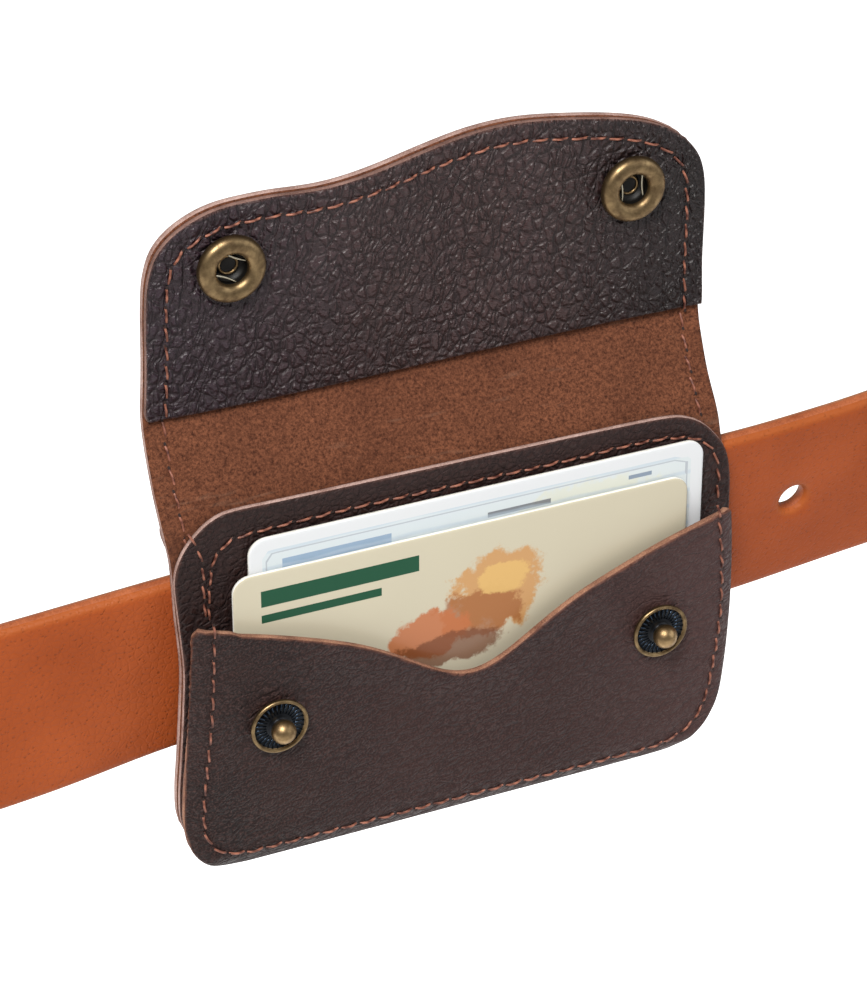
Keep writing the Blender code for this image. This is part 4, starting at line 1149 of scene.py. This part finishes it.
def makeStud(side, x):
    look = studLook
    centre = (x, studHigh.y, studZ)          # the stud stands on the pocket's grain face
    top, r = look["tall"], look["ball"]
    mid = top - r * 0.92
    ball = [(r * sin(radians(a)), mid + (r * 0.92) * cos(radians(a))) for a in range(0, 137, 8)]
    neck = [(look["neck"], 1.1 * mm), (look["neck"] + 0.1 * mm, 0.75 * mm), (2.1 * mm, 0.62 * mm)]
    hub = [(2.1 * mm, 0.62 * mm), (2.25 * mm, 0.6 * mm), (look["ringInner"], 0.42 * mm)]
    dish = [(look["ringInner"], 0.42 * mm), (look["ringOuter"], 0.5 * mm)]
    rim = [(look["ringOuter"], 0.5 * mm), (4.62 * mm, 0.82 * mm), (4.8 * mm, 0.97 * mm),
           (5.05 * mm, 0.97 * mm),
           (5.25 * mm, 0.8 * mm), (look["rim"], 0.55 * mm), (5.2 * mm, 0.25 * mm), (5.0 * mm, -0.15 * mm),
           (0.0, -0.15 * mm)]
    body = turnedPiece("studBody", [(ball, brassBright), (ball[-1:] + neck + hub + dish, blackened),
                                    (rim, brass)], centre)
    ridges = bakeTree("studRidges", bpy.data.meshes.new("ridges"), ridging,
                      {"Centre": (x, studHigh.y - 0.5 * mm, studZ), "Count": look["ridges"],
                       "Inner Radius": look["ringInner"], "Outer Radius": look["ringOuter"],
                       "Ridge Radius": look["ridge"], "Finish": blued})
    fitted(joinPieces("snapStud_" + side, [body, ridges]), "pouch", "antique_brass", "stud_" + side)


socketLook = {"outer": 5.95 * mm, "hole": 2.75 * mm, "crown": 2.1 * mm}


def makeSocket(side, x, springTurn):
    look = socketLook
    centre = (x, facingLow.y, socketZ)
    hole, outer, crown = look["hole"], look["outer"], look["crown"]
    mid, half = (hole + outer) / 2, (outer - hole) / 2
    dome = [(hole, 0.75 * mm)]
    dome += [(mid - half * cos(radians(a)), 0.55 * mm + (crown - 0.55 * mm) * sin(radians(a)) ** 0.8)
             for a in range(6, 175, 7)]
    dome += [(outer, 0.3 * mm), (outer - 0.25 * mm, -0.1 * mm), (3.0 * mm, -0.1 * mm)]
    well = [(3.0 * mm, -0.1 * mm), (3.15 * mm, -0.2 * mm), (3.15 * mm, -1.35 * mm), (0.0, -1.35 * mm)]
    lining = [(0.0, -1.2 * mm), (2.95 * mm, -1.2 * mm), (2.95 * mm, 0.7 * mm), (hole, 0.75 * mm)]
    # the well and its lining take the painted-shade finish
    body = turnedPiece("socketBody", [(lining, wellPaintedShade), (dome, brass), (well, wellPaintedShade)], centre)
    eyelet = turnedPiece("socketEyelet", [([(1.35 * mm, -0.95 * mm), (1.5 * mm, -0.8 * mm),
                                            (1.7 * mm, -0.78 * mm),
                                            (1.85 * mm, -0.95 * mm), (1.85 * mm, -1.15 * mm),
                                            (1.35 * mm, -1.15 * mm), (1.35 * mm, -0.95 * mm)],
                                           brassBright)],
                         centre, steps=40)
    fitted(joinPieces("snapSocket_" + side, [body, eyelet]), "flap", "antique_brass", "socket_" + side)
    wires = []
    for hand in (-1, 1):
        # each spring is a short bowed bar across the hole's edge, its ends turned back into the rim
        pts = [(hand * 2.1 * mm, h) for h in np.linspace(-2.0 * mm, 2.0 * mm, 9)]
        pts = [(px - hand * 0.25 * mm * cos(pz / (2.4 * mm) * pi / 2), pz) for px, pz in pts]
        turn = radians(springTurn)
        path = [(x + px * cos(turn) - pz * sin(turn), facingLow.y - 0.28 * mm,
                 socketZ + px * sin(turn) + pz * cos(turn))
                for px, pz in pts]
        wires.append(bakeTree("springBar", pathMesh("springPath", path), sweeping,
                              {"Bar Radius": 0.21 * mm, "Sides": 10, "Steps": 16, "Finish": springWire}))
    fitted(joinPieces("snapSpring_" + side, wires), "flap", "spring_steel", "snap_spring_" + side)


def makeCap(side, x):
    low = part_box("snap_cap_" + side)[1].y
    centre = (x, low, socketZ)
    dome = [(6.0 * mm * sin(radians(a)), -0.1 * mm - 2.0 * mm * cos(radians(a)) ** 0.8 + 2.0 * mm)
            for a in range(0, 84, 6)]
    rim = [dome[-1], (6.3 * mm, 1.75 * mm), (6.35 * mm, 2.0 * mm), (6.2 * mm, 2.25 * mm),
           (5.9 * mm, 2.35 * mm),
           (3.0 * mm, 2.35 * mm), (3.0 * mm, 3.6 * mm), (0.0, 3.6 * mm)]
    # turned about the same axis, but its dome looks away from the viewer
    fitted(turnedPiece("snapCap_" + side, [(dome, brass), (rim, brass)], centre), "flap", "antique_brass",
           "snap_cap_" + side)


for side, x, springTurn in (("left", -snapX, 62), ("right", snapX, 4)):
    makeStud(side, x)
    makeSocket(side, x, springTurn)
    makeCap(side, x)
    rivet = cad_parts["stud_rivet_" + side]
    rivet.data.materials.clear()
    rivet.data.materials.append(brass)
print("snaps made")


# cards
def cardFace(name, look, left, top):
    # laminated PVC card, printed and blank of any words: a pale ground, a thin border and soft washes of
    # colour
    mat, tree, shader = newMaterial(name, IOR=1.5, Roughness=0.3, Specular_IOR_Level=0.3, Coat_Weight=0.12,
                                    Coat_Roughness=0.12)
    place = restPlaceOf(tree)
    local = addNode(tree, "ShaderNodeVectorMath", {"operation": "SUBTRACT"}, {0: place, 1: (left, 0, top)})
    split = addNode(tree, "ShaderNodeSeparateXYZ", {}, {0: local.outputs[0]})
    fade = addNode(tree, "ShaderNodeTexNoise", {}, {"Vector": place, "Scale": 1 / (30 * mm), "Detail": 2.0})
    ground = addNode(tree, "ShaderNodeMix", {"data_type": "RGBA"},
                     {0: fade.outputs["Fac"], 6: linear(look["groundA"]),
                      7: linear(look["groundB"])}).outputs[2]
    warp = addNode(tree, "ShaderNodeTexNoise", {}, {"Vector": place, "Scale": 1 / (4 * mm), "Detail": 5.0,
                                                    "Roughness": 0.65})
    for cx, cz, rx, rz, colour, share in look["washes"]:
        # a ragged-edged wash: an ellipse whose rim is bent by noise
        off = addNode(tree, "ShaderNodeVectorMath", {"operation": "SUBTRACT"},
                      {0: local.outputs[0], 1: (cx, 0, cz)})
        sized = addNode(tree, "ShaderNodeVectorMath", {"operation": "MULTIPLY"},
                        {0: off.outputs[0], 1: (1 / rx, 0, 1 / rz)})
        far = addNode(tree, "ShaderNodeVectorMath", {"operation": "LENGTH"}, {0: sized.outputs[0]})
        bent = addNode(tree, "ShaderNodeMath", {"operation": "MULTIPLY_ADD"},
                       {0: warp.outputs["Fac"], 1: 1.3, 2: far.outputs["Value"]})
        part = addNode(tree, "ShaderNodeMapRange", {"interpolation_type": "SMOOTHSTEP"},
                       {"Value": bent.outputs[0], "From Min": 1.62, "From Max": 1.42, "To Max": share})
        ground = addNode(tree, "ShaderNodeMix", {"data_type": "RGBA"},
                         {0: part.outputs[0], 6: ground, 7: linear(colour)}).outputs[2]
    for x0, x1, z0, z1, colour, share in look["bars"]:
        # a plain printed bar, its corners left square
        midX = addNode(tree, "ShaderNodeMath", {"operation": "SUBTRACT"},
                       {0: split.outputs[0], 1: (x0 + x1) / 2})
        midZ = addNode(tree, "ShaderNodeMath", {"operation": "SUBTRACT"},
                       {0: split.outputs[2], 1: (z0 + z1) / 2})
        awayX = addNode(tree, "ShaderNodeMath", {"operation": "ABSOLUTE"}, {0: midX.outputs[0]})
        awayZ = addNode(tree, "ShaderNodeMath", {"operation": "ABSOLUTE"}, {0: midZ.outputs[0]})
        inX = addNode(tree, "ShaderNodeMath", {"operation": "LESS_THAN"},
                      {0: awayX.outputs[0], 1: (x1 - x0) / 2})
        inZ = addNode(tree, "ShaderNodeMath", {"operation": "LESS_THAN"},
                      {0: awayZ.outputs[0], 1: (z1 - z0) / 2})
        both = addNode(tree, "ShaderNodeMath", {"operation": "MULTIPLY"},
                       {0: inX.outputs[0], 1: inZ.outputs[0]})
        part = addNode(tree, "ShaderNodeMath", {"operation": "MULTIPLY"}, {0: both.outputs[0], 1: share})
        ground = addNode(tree, "ShaderNodeMix", {"data_type": "RGBA"},
                         {0: part.outputs[0], 6: ground, 7: linear(colour)}).outputs[2]
    if look["lines"]:
        # fine wavy security lines
        wave = addNode(tree, "ShaderNodeTexWave", {"bands_direction": "Z"},
                       {"Vector": place, "Scale": 1 / (11 * mm), "Distortion": 2.2, "Detail Scale": 0.6})
        thin = addNode(tree, "ShaderNodeMapRange", {}, {"Value": wave.outputs["Fac"], "From Min": 0.8,
                                                        "To Max": 0.5})
        ground = addNode(tree, "ShaderNodeMix", {"data_type": "RGBA"},
                         {0: thin.outputs[0], 6: ground, 7: linear(look["lines"])}).outputs[2]
    edge = addNode(tree, "ShaderNodeAttribute", {"attribute_name": "edgeDistance"})
    rim = addNode(tree, "ShaderNodeMath", {"operation": "LESS_THAN"},
                  {0: edge.outputs["Fac"], 1: look["border"]})
    framed = addNode(tree, "ShaderNodeMix", {"data_type": "RGBA"},
                     {0: rim.outputs[0], 6: ground, 7: linear(look["borderColour"])})
    # a hairline frame printed just inside the border
    offLine = addNode(tree, "ShaderNodeMath", {"operation": "SUBTRACT"},
                      {0: edge.outputs["Fac"], 1: sum(look["frame"]) / 2})
    lineGap = addNode(tree, "ShaderNodeMath", {"operation": "ABSOLUTE"}, {0: offLine.outputs[0]})
    hairline = addNode(tree, "ShaderNodeMath", {"operation": "LESS_THAN"},
                       {0: lineGap.outputs[0], 1: (look["frame"][1] - look["frame"][0]) / 2})
    lined = addNode(tree, "ShaderNodeMix", {"data_type": "RGBA"},
                    {0: hairline.outputs[0], 6: framed.outputs[2], 7: linear("#aeb4bb")})
    tree.links.new(lined.outputs[2], shader.inputs["Base Color"])
    return mat


cardLooks = {
    "card_front": {
        "groundA": "#c9c1a9", "groundB": "#bdb59f", "border": 0.0, "frame": (0.0, 0.0),
        "borderColour": "#c9c1a9",
        "lines": None,
        "washes": [(49 * mm, -14 * mm, 10 * mm, 9 * mm, "#c08a4c", 0.85),
                   (45 * mm, -18 * mm, 9 * mm, 6 * mm, "#96582b", 0.8),
                   (36 * mm, -20 * mm, 8 * mm, 5.5 * mm, "#b5683a", 0.9),
                   (50 * mm, -12 * mm, 6 * mm, 3.5 * mm, "#d3ab68", 0.9),
                   (40 * mm, -24 * mm, 11 * mm, 3.5 * mm, "#6f3c20", 0.8)],
        "bars": [(5 * mm, 34 * mm, -6.6 * mm, -3.4 * mm, "#00472c", 1.0),
                 (5 * mm, 27 * mm, -9.8 * mm, -8.2 * mm, "#00472c", 1.0)]},
    "card_rear": {
        "groundA": "#c6d2da", "groundB": "#d3d6d2", "border": 2.4 * mm, "frame": (3.0 * mm, 3.25 * mm),
        "borderColour": "#d5d7d9", "lines": "#b3c2d0",
        "washes": [(64 * mm, -9 * mm, 16 * mm, 7 * mm, "#d6d2b0", 0.4)],
        "bars": [(6 * mm, 26 * mm, -6.4 * mm, -4.6 * mm, "#6f8fb0", 0.75),
                 (44 * mm, 56 * mm, -6.0 * mm, -5.0 * mm, "#5d6068", 0.85),
                 (71 * mm, 75.5 * mm, -4.9 * mm, -4.1 * mm, "#6d7f95", 0.85)]}}
cardSide = plainFinish("card_side_pvc", "#d8d6cc", "#efeee8", 3 * mm, 0.45)


def makeCard(node, body, slotName, bow):
    low, high, mid = corners(node)

    def cardY(x, z):
        # a card that has been carried: a slight bow about its upright middle
        return mid.y + bow * ((x - mid.x) / (43 * mm)) ** 2 - bow * 0.5

    shape = [(x + mid.x, z) for x, z in roundedBox((high.x - low.x) / 2, low.z, high.z, 3.2 * mm, 3.2 * mm)]
    look = {"outline": shape, "place": heightPlace(cardY), "thick": high.y - low.y, "edgeRound": 0.12 * mm,
            "edgeLeft": 0.8, "edgeBulge": 0.02 * mm, "grid": 2.5 * mm, "edgeStep": 0.5 * mm}
    face = cardFace(node + "_print", cardLooks[node], low.x, high.z)
    fitted(sheetMesh(node + "_plastic", look, [face, cardSide, cardSide]), body, slotName, node)


makeCard("card_front", "front_card", "cream_card", 0.12 * mm)
makeCard("card_rear", "rear_card", "pale_card", -0.1 * mm)
print("cards made")


# belt
belt = {
    "width": 35 * mm, "thick": 3.8 * mm, "midY": -4.4 * mm, "frontRun": 226 * mm, "frontMid": 21 * mm,
    "cornerBend": 58 * mm, "cornerTurn": radians(80), "risePerX": 0.056, "risePerY": 0.22,
    "foldBack": 48 * mm,
    "barX": 133 * mm, "barRadius": 2.0 * mm, "firstHoleX": 68.4 * mm, "holePitch": 24.7 * mm, "holes": 5,
    "buckledHole": 2, "holeRadius": 2.6 * mm, "tipPast": 70 * mm, "tipRound": 15 * mm, "gap": 0.3 * mm,
    "foldPoints": 59, "bendPoints": 33, "roundPoints": 599, "tipPoints": 330,
    # how far the worn strap sags, and how many degrees it leans out, along the run past the pouch (mm)
    "sag": [(-60, 0), (-5, -2.2), (10, -2.0), (25, -1.5), (40, -0.4), (70, -1.2), (147, -3.5), (161, -3.1),
            (176, -2.5), (190, -1.4), (208, 0)],
    "lean": [(-60, 0), (0, -2), (10, -1.5), (25, 0.7), (40, 5), (70, 3), (130, 4), (147, 6.3), (161, 7.4),
             (178, 8), (190, 5), (205, 0)],
}
backRadius = belt["cornerBend"] + belt["frontRun"] / 2 / sin(belt["cornerTurn"])
runStart = belt["frontMid"] - belt["frontRun"] / 2
loopLegs = ((belt["frontRun"], None), (belt["cornerBend"] * belt["cornerTurn"], belt["cornerBend"]),
            (backRadius * 2 * (pi - belt["cornerTurn"]), backRadius),
            (belt["cornerBend"] * belt["cornerTurn"], belt["cornerBend"]))
loopLength = sum(length for length, bend in loopLegs)
layer = belt["thick"] + belt["gap"]
barS = belt["barX"] - runStart
foldBend = belt["barRadius"] + belt["gap"] + belt["thick"] / 2


def loopPoint(s, out):
    # a distance s round the loop from the left end of the front run, moved out from the waist
    x, y, heading = runStart, belt["midY"], 0.0
    for i, (length, bend) in enumerate(loopLegs):
        step = min(s, length) if i < len(loopLegs) - 1 else s
        if bend is None:
            x, y = x + step * cos(heading), y + step * sin(heading)
        else:
            turn = step / bend
            x += bend * (sin(heading + turn) - sin(heading))
            y += bend * (cos(heading) - cos(heading + turn))
            heading += turn
        s -= step
        if s <= 0:
            break
    x, y = x + out * sin(heading), y - out * cos(heading)
    return np.array((x, y, belt["risePerX"] * x + belt["risePerY"] * (y - belt["midY"])))


def strapLine():
    # from the end of the fold, round the buckle's bar, round the waist and through the buckle to the tip
    points = []
    for d in np.linspace(belt["foldBack"], 0, belt["foldPoints"] + 1)[:-1]:
        spread = 1 - float(smoothStep(d / (16 * mm)))
        points.append(loopPoint(barS + d, -layer - (2 * foldBend - layer) * spread))
    bar = loopPoint(barS, -foldBend)
    for a in np.linspace(pi / 2, 3 * pi / 2, belt["bendPoints"]):
        x = bar[0] + foldBend * cos(a)
        points.append(np.array((x, bar[1] + foldBend * sin(a), belt["risePerX"] * x)))
    points += [loopPoint(s, 0.0) for s in np.linspace(barS, loopLength, belt["roundPoints"] + 1)[1:]]
    points += [loopPoint(s, layer * float(smoothStep((s - barS + 34 * mm) / (20 * mm)))) for s in tipAt[1:]]
    return np.array(points)


tipLength = belt["firstHoleX"] - runStart + (belt["holes"] - 1) * belt["holePitch"] + belt["tipPast"]
tipAt = np.linspace(0, tipLength, belt["tipPoints"])
line = strapLine()
lineSteps = np.linalg.norm(np.diff(line[:, :2], axis=0), axis=1)
lineAt = np.concatenate([[0.0], np.cumsum(lineSteps)])
lineEnd = float(lineAt[-1])
bendEndAt = lineAt[belt["foldPoints"] + belt["bendPoints"] - 1]
# back at the front again
tipStartAt = lineAt[belt["foldPoints"] + belt["bendPoints"] + belt["roundPoints"] - 1]
bendMidAt = lineAt[belt["foldPoints"] + belt["bendPoints"] // 2]
heading = np.unwrap(np.arctan2(*np.gradient(line[:, :2], axis=0).T[::-1]))


def softCurve(x, knots, blur):
    # a curve through (x, value) knots with its corners rounded off
    at, value = zip(*knots)
    return sum(np.interp(x + blur * k, at, value) for k in (-1, -0.5, 0, 0.5, 1)) / 5


def strapPlace(u, v, out):
    # u runs along the strap, v across it; the part right of the pouch leans its top edge outwards a little
    u, v, out = (np.asarray(a, float) for a in (u, v, out))
    base = np.stack([np.interp(u, lineAt, line[:, i]) for i in range(3)], -1)
    past = u - tipStartAt
    base[:, 2] += mm * softCurve(past / mm, belt["sag"], 9)
    h = np.interp(u, lineAt, heading)
    normal = np.stack([np.sin(h), -np.cos(h), 0 * h], -1)
    lean = np.radians(softCurve(past / mm, belt["lean"], 9))
    lean = lean + radians(1.2) * np.sin(u / (45 * mm)) * (past < -30 * mm) * (u > bendMidAt + 120 * mm)
    upward = np.stack([0 * h, 0 * h, 1 + 0 * h], -1)
    wide = upward * np.cos(lean)[:, None] + normal * np.sin(lean)[:, None]
    face = normal * np.cos(lean)[:, None] - upward * np.sin(lean)[:, None]
    return base + wide * v[:, None] + face * out[:, None], face


def tipHalfWidth(u):
    reach = np.clip((belt["tipRound"] - (lineEnd - u)) / belt["tipRound"], 0, 1)
    return belt["width"] / 2 * (1 - 0.62 * (1 - np.sqrt(np.maximum(1 - reach ** 2, 0))))


def alongTip(s):
    # the place along the strap that lies a distance s round the loop, in its second, outer turn
    return float(np.interp(s, tipAt, lineAt[-len(tipAt):]))


def slotShape(u0, u1, r):
    # a long slot with round ends, cut along the strap
    right = [(u1 - r + r * cos(a), r * sin(a)) for a in np.linspace(-pi / 2, pi / 2, 12)]
    left = [(u0 + r + r * cos(a), r * sin(a)) for a in np.linspace(pi / 2, 3 * pi / 2, 12)]
    top = [(u, r) for u in np.linspace(u1 - r, u0 + r, 24)[1:-1]]
    low = [(u, -r) for u in np.linspace(u0 + r, u1 - r, 24)[1:-1]]
    return right + top + left + low


def makeStrap():
    half = belt["width"] / 2
    fine = np.concatenate([np.arange(0, 56 * mm, 3 * mm),
                           np.linspace(bendMidAt - 8 * mm, bendMidAt + 8 * mm, 34),
                           np.arange(bendMidAt + 10 * mm, tipStartAt + 150 * mm, 3.6 * mm),
                           np.arange(tipStartAt + 150 * mm, lineEnd - 16 * mm, 1.8 * mm)])
    fine = np.unique(np.round(fine, 5))
    fine = fine[np.concatenate([[True], np.diff(fine) > 0.35 * mm])]
    tip = lineEnd - belt["tipRound"] * (1 - np.sin(np.linspace(0, pi / 2, 22)))
    along = np.concatenate([fine[fine < tip[0] - 1 * mm], tip])
    lower = [(u, -float(tipHalfWidth(u))) for u in along]
    upper = [(u, float(tipHalfWidth(u))) for u in reversed(along)]
    endV = upper[0][1]
    nose = [(lineEnd + 1.6 * mm * cos(a), endV * sin(a)) for a in np.linspace(-pi / 2, pi / 2, 14)[1:-1]]
    heel = [(0.0, v) for v in np.linspace(half - 1.2 * mm, -half + 1.2 * mm, 20)]
    exact = [(1.0 * mm, -half)] + lower[1:] + nose + upper[:-1] + [(1.0 * mm, half)] + heel
    exact = [p for i, p in enumerate(exact)
             if i == 0 or abs(p[0] - exact[i - 1][0]) + abs(p[1] - exact[i - 1][1]) > 0.1 * mm]
    rows = np.linspace(-half + 1.6 * mm, half - 1.6 * mm, 15)
    gu, gv = np.meshgrid(along, rows)
    holes = []
    for i in range(belt["holes"]):
        u = alongTip(belt["firstHoleX"] - runStart + i * belt["holePitch"])
        if i != belt["buckledHole"]:
            holes.append([(u + belt["holeRadius"] * cos(a), belt["holeRadius"] * sin(a))
                          for a in np.linspace(0, 2 * pi, 32, endpoint=False)])
    holes.append(slotShape(alongTip(barS - 17 * mm), alongTip(barS - 4.3 * mm), 2.3 * mm))
    bendHalf = foldBend * pi / 2 + 8 * mm
    holes.append(slotShape(bendMidAt - bendHalf, bendMidAt + bendHalf, 2.6 * mm))

    def wear(u, v, distance):
        # slow dips pressed in by years of buckling
        return 0.1 * mm * softNoise(u, v, 22 * mm, 21.0) * smoothStep(distance / (3 * mm))

    look = {"exactOutline": exact, "exactHoles": holes,
            "gridPoints": np.stack([gu.ravel(), gv.ravel()], -1),
            "outline": exact, "place": strapPlace, "thick": belt["thick"], "edgeRound": 1.3 * mm,
            "edgeLeft": 0.42,
            "edgeBulge": 0.28 * mm, "relief": wear, "flatRest": True}
    ob = sheetMesh("strapLeather", look, [strapGrain, strapFlesh, strapCut])
    fitted(ob, "belt", "tan_leather", "belt_strap")
    # two rows hold the fold down behind the buckle
    outer = []
    for d in (34 * mm, 41 * mm):
        outer.append([(bendEndAt + d, v) for v in np.linspace(-12 * mm, 12 * mm, 20)])
    inner = [[(belt["foldBack"] - d, v) for v in np.linspace(-12 * mm, 12 * mm, 20)]
             for d in (34 * mm, 41 * mm)]
    look = dict(stitchLook, pitch=3.6 * mm, length=3.0 * mm, radius=0.4 * mm)
    rows = [stitchRow("foldRow", path, strapPlace, belt["thick"] / 2 - 0.08 * mm, tanThread, look=look)
            for path in outer + inner]
    fitted(joinPieces("foldStitches", rows), "belt", "tan_leather")


def makeKeeper():
    # a sewn leather band round all the layers, its edges rounded
    s0, wide, thick = barS + 22 * mm, 11 * mm, 1.8 * mm
    inner = -layer - belt["thick"] / 2 - belt["gap"] - thick / 2
    outer = layer + belt["thick"] / 2 + belt["gap"] + thick / 2
    high, r = belt["width"] / 2 + 2.0 * mm, 2.2 * mm
    ring = []
    for cx, cz, a0 in ((outer - r, high - r, 0), (inner + r, high - r, 90), (inner + r, -high + r, 180),
                       (outer - r, -high + r, 270)):
        ring += [(cx + r * cos(radians(a)), cz + r * sin(radians(a)), cos(radians(a)), sin(radians(a)))
                 for a in range(a0, a0 + 91, 10)]
    full = []
    for a, b in zip(ring, ring[1:] + ring[:1]):
        gap = sqrt((a[0] - b[0]) ** 2 + (a[1] - b[1]) ** 2)
        steps = max(int(gap / (1.5 * mm)), 1)
        full += [tuple(a[k] + (b[k] - a[k]) * i / steps for k in range(4)) for i in range(steps)]
    section = [(wide / 2 - 0.7 * mm, thick / 2), (wide / 2 - 0.2 * mm, thick / 2 * 0.75), (wide / 2, 0.0),
               (wide / 2 - 0.2 * mm, -thick / 2 * 0.75), (wide / 2 - 0.7 * mm, -thick / 2)]
    flat = [(d, thick / 2) for d in np.linspace(-wide / 2 + 1.6 * mm, wide / 2 - 1.6 * mm, 6)]
    lower = [(d, -t) for d, t in reversed(flat)] + [(-d, t) for d, t in reversed(section)]
    section = flat + section + lower
    verts, n = [], len(section)
    for out, h, nOut, nH in full:
        length = max(sqrt(nOut * nOut + nH * nH), 1e-9)
        for d, t in section:
            p = loopPoint(s0 + d, out + t * nOut / length)
            verts.append((p[0], p[1], p[2] + h + t * nH / length))
    faces = [(i * n + j, i * n + (j + 1) % n, (i + 1) % len(full) * n + (j + 1) % n,
              (i + 1) % len(full) * n + j)
             for i in range(len(full)) for j in range(n)]
    mesh = bpy.data.meshes.new("keeperBand")
    mesh.from_pydata(verts, [], faces)
    mesh.polygons.foreach_set("use_smooth", [True] * len(faces))
    mesh.materials.append(strapGrain)
    rest = mesh.attributes.new("restPlace", "FLOAT_VECTOR", "POINT")
    rest.data.foreach_set("vector", np.array(verts, np.float32).ravel())
    near = mesh.attributes.new("edgeDistance", "FLOAT", "POINT")
    near.data.foreach_set("value", [wide / 2 - abs(section[i % n][0]) for i in range(len(verts))])
    facedOutwards(mesh)
    ob = newObject("keeperBand", mesh)
    fitted(ob, "belt", "tan_leather", "keeper")


buckleLook = {"reach": 37 * mm, "lean": 8.6 * mm, "above": 4.2 * mm, "bar": 2.0 * mm, "prong": 1.6 * mm,
              "corner": 9 * mm}


def makeBuckle():
    look = buckleLook
    barX, barY = belt["barX"], -0.2 * mm
    midZ = belt["risePerX"] * barX
    high, r, reach = belt["width"] / 2 + look["above"], look["corner"], look["reach"]
    plan = [(0.0, z) for z in np.linspace(-high + 2.4 * mm, high - 2.4 * mm, 9)]
    plan += [(0.7 * mm, high - 0.7 * mm), (2.4 * mm, high)]
    plan += [(d, high) for d in np.linspace(6 * mm, reach - r - 3 * mm, 5)]
    quarter = [radians(a) for a in range(0, 91, 10)]
    plan += [(reach - r + r * sin(a), high - r + r * cos(a)) for a in quarter]
    plan += [(reach, z) for z in np.linspace(high - r - 3 * mm, -high + r + 3 * mm, 7)]
    plan += [(reach - r + r * sin(a), -high + r - r * cos(a)) for a in reversed(quarter)]
    plan += [(d, -high) for d in np.linspace(reach - r - 3 * mm, 6 * mm, 5)]
    plan += [(2.4 * mm, -high), (0.7 * mm, -high + 0.7 * mm)]
    slope = look["lean"] / reach
    path = [(barX - d, barY - d * slope, midZ - d * belt["risePerX"] + h) for d, h in plan]
    girth = [1.0 + 0.12 * float(smoothStep((d - 4 * mm) / (8 * mm))) for d, h in plan]
    fitted(bakeTree("buckleFrame", pathMesh("framePath", path, closed=True, girth=girth), sweeping,
                    {"Bar Radius": look["bar"], "Sides": 20, "Steps": 190, "Finish": brass}),
           "buckle", "antique_brass", "buckle_frame")
    eye = look["bar"] + belt["gap"] + look["prong"]
    loop = [(eye * cos(radians(a)), eye * sin(radians(a))) for a in range(-60, 211, 15)]
    arm = [(-7.6 * mm, -5.2 * mm), (-10.8 * mm, -8.6 * mm), (-14.5 * mm, -11.6 * mm),
           (-20 * mm, -12.6 * mm),
           (-27 * mm, -12.9 * mm), (-33 * mm, -12.9 * mm), (-37.5 * mm, -12.8 * mm),
           (-39.5 * mm, -12.75 * mm)]
    path = [(barX + px, barY + py, midZ + belt["risePerX"] * px) for px, py in loop + arm]
    girth = [0.94] * len(loop) + [1.0, 1.0, 1.0, 1.0, 0.98, 0.92, 0.75, 0.45]
    fitted(bakeTree("bucklePin", pathMesh("pinPath", path, girth=girth), sweeping,
                    {"Bar Radius": look["prong"], "Sides": 18, "Steps": 90, "Finish": brassBright}),
           "prong", "antique_brass", "buckle_prong")


makeStrap()
makeKeeper()
makeBuckle()
print("belt made")


# floor, light and camera
stageLook = {"floorZ": -0.30, "floorSize": 6.0, "floorPaintedGlow": 1.0, "keyPower": 19, "fillPower": 4.5,
             "skyStrength": 0.24, "lens": 123.17, "cameraPlace": (-0.2067, -0.4665, 0.3230),
             "cameraTarget": (-0.0071, -0.0151, 0.0238)}


def makeFloor():
    bm = bmesh.new()
    bmesh.ops.create_grid(bm, x_segments=4, y_segments=4, size=stageLook["floorSize"] / 2)
    bmesh.ops.translate(bm, verts=bm.verts, vec=(0, 0, stageLook["floorZ"]))
    mesh = bpy.data.meshes.new("paleFloor")
    bm.to_mesh(mesh)
    bm.free()
    mat, tree, shader = newMaterial("pale_floor", Roughness=0.9, Specular_IOR_Level=0.1)
    shader.inputs["Base Color"].default_value = linear("#ececec")
    shader.inputs["Emission Color"].default_value = (1, 1, 1, 1)
    # painted light: the floor itself glows behind the object and fades out in front of it, like a lit sweep
    where = addNode(tree, "ShaderNodeTexCoord").outputs["Object"]
    split = addNode(tree, "ShaderNodeSeparateXYZ", {}, {0: where})
    paintedGlow = addNode(tree, "ShaderNodeMapRange", {"interpolation_type": "SMOOTHSTEP"},
                   {"Value": split.outputs[1], "From Min": -0.35, "From Max": 0.05,
                    "To Max": stageLook["floorPaintedGlow"]})
    tree.links.new(paintedGlow.outputs[0], shader.inputs["Emission Strength"])
    mesh.materials.append(mat)
    ob = newObject("paleFloor", mesh)


def makeLight(name, place, target, size, power, colour):
    data = bpy.data.lights.new(name, "AREA")
    data.size, data.energy, data.color = size, power, colour
    ob = newObject(name, data)
    ob.location = place
    ob.rotation_euler = (Vector(target) - Vector(place)).to_track_quat("-Z", "Y").to_euler()


def makeCamera():
    data = bpy.data.cameras.new("camera")
    data.lens, data.sensor_width = stageLook["lens"], 36
    data.clip_start, data.clip_end = 0.01, 20
    ob = newObject("camera", data)
    ob.location = stageLook["cameraPlace"]
    ahead = Vector(stageLook["cameraTarget"]) - ob.location
    ob.rotation_euler = ahead.to_track_quat("-Z", "Y").to_euler()
    bpy.context.scene.camera = ob


makeFloor()
middle = (0, 0, 0.02)
makeLight("keyLight", (-0.45, -0.55, 0.95), middle, 0.5, stageLook["keyPower"], (1, 0.985, 0.96))
makeLight("fillLight", (0.9, -0.7, 0.5), middle, 1.0, stageLook["fillPower"], (0.95, 0.97, 1))
makeCamera()
world = bpy.data.worlds.new("sky")
world.use_nodes = True
world.node_tree.nodes["Background"].inputs["Color"].default_value = (1, 1, 1, 1)
world.node_tree.nodes["Background"].inputs["Strength"].default_value = stageLook["skyStrength"]
bpy.context.scene.world = world
bpy.context.scene.view_settings.view_transform = "Standard"
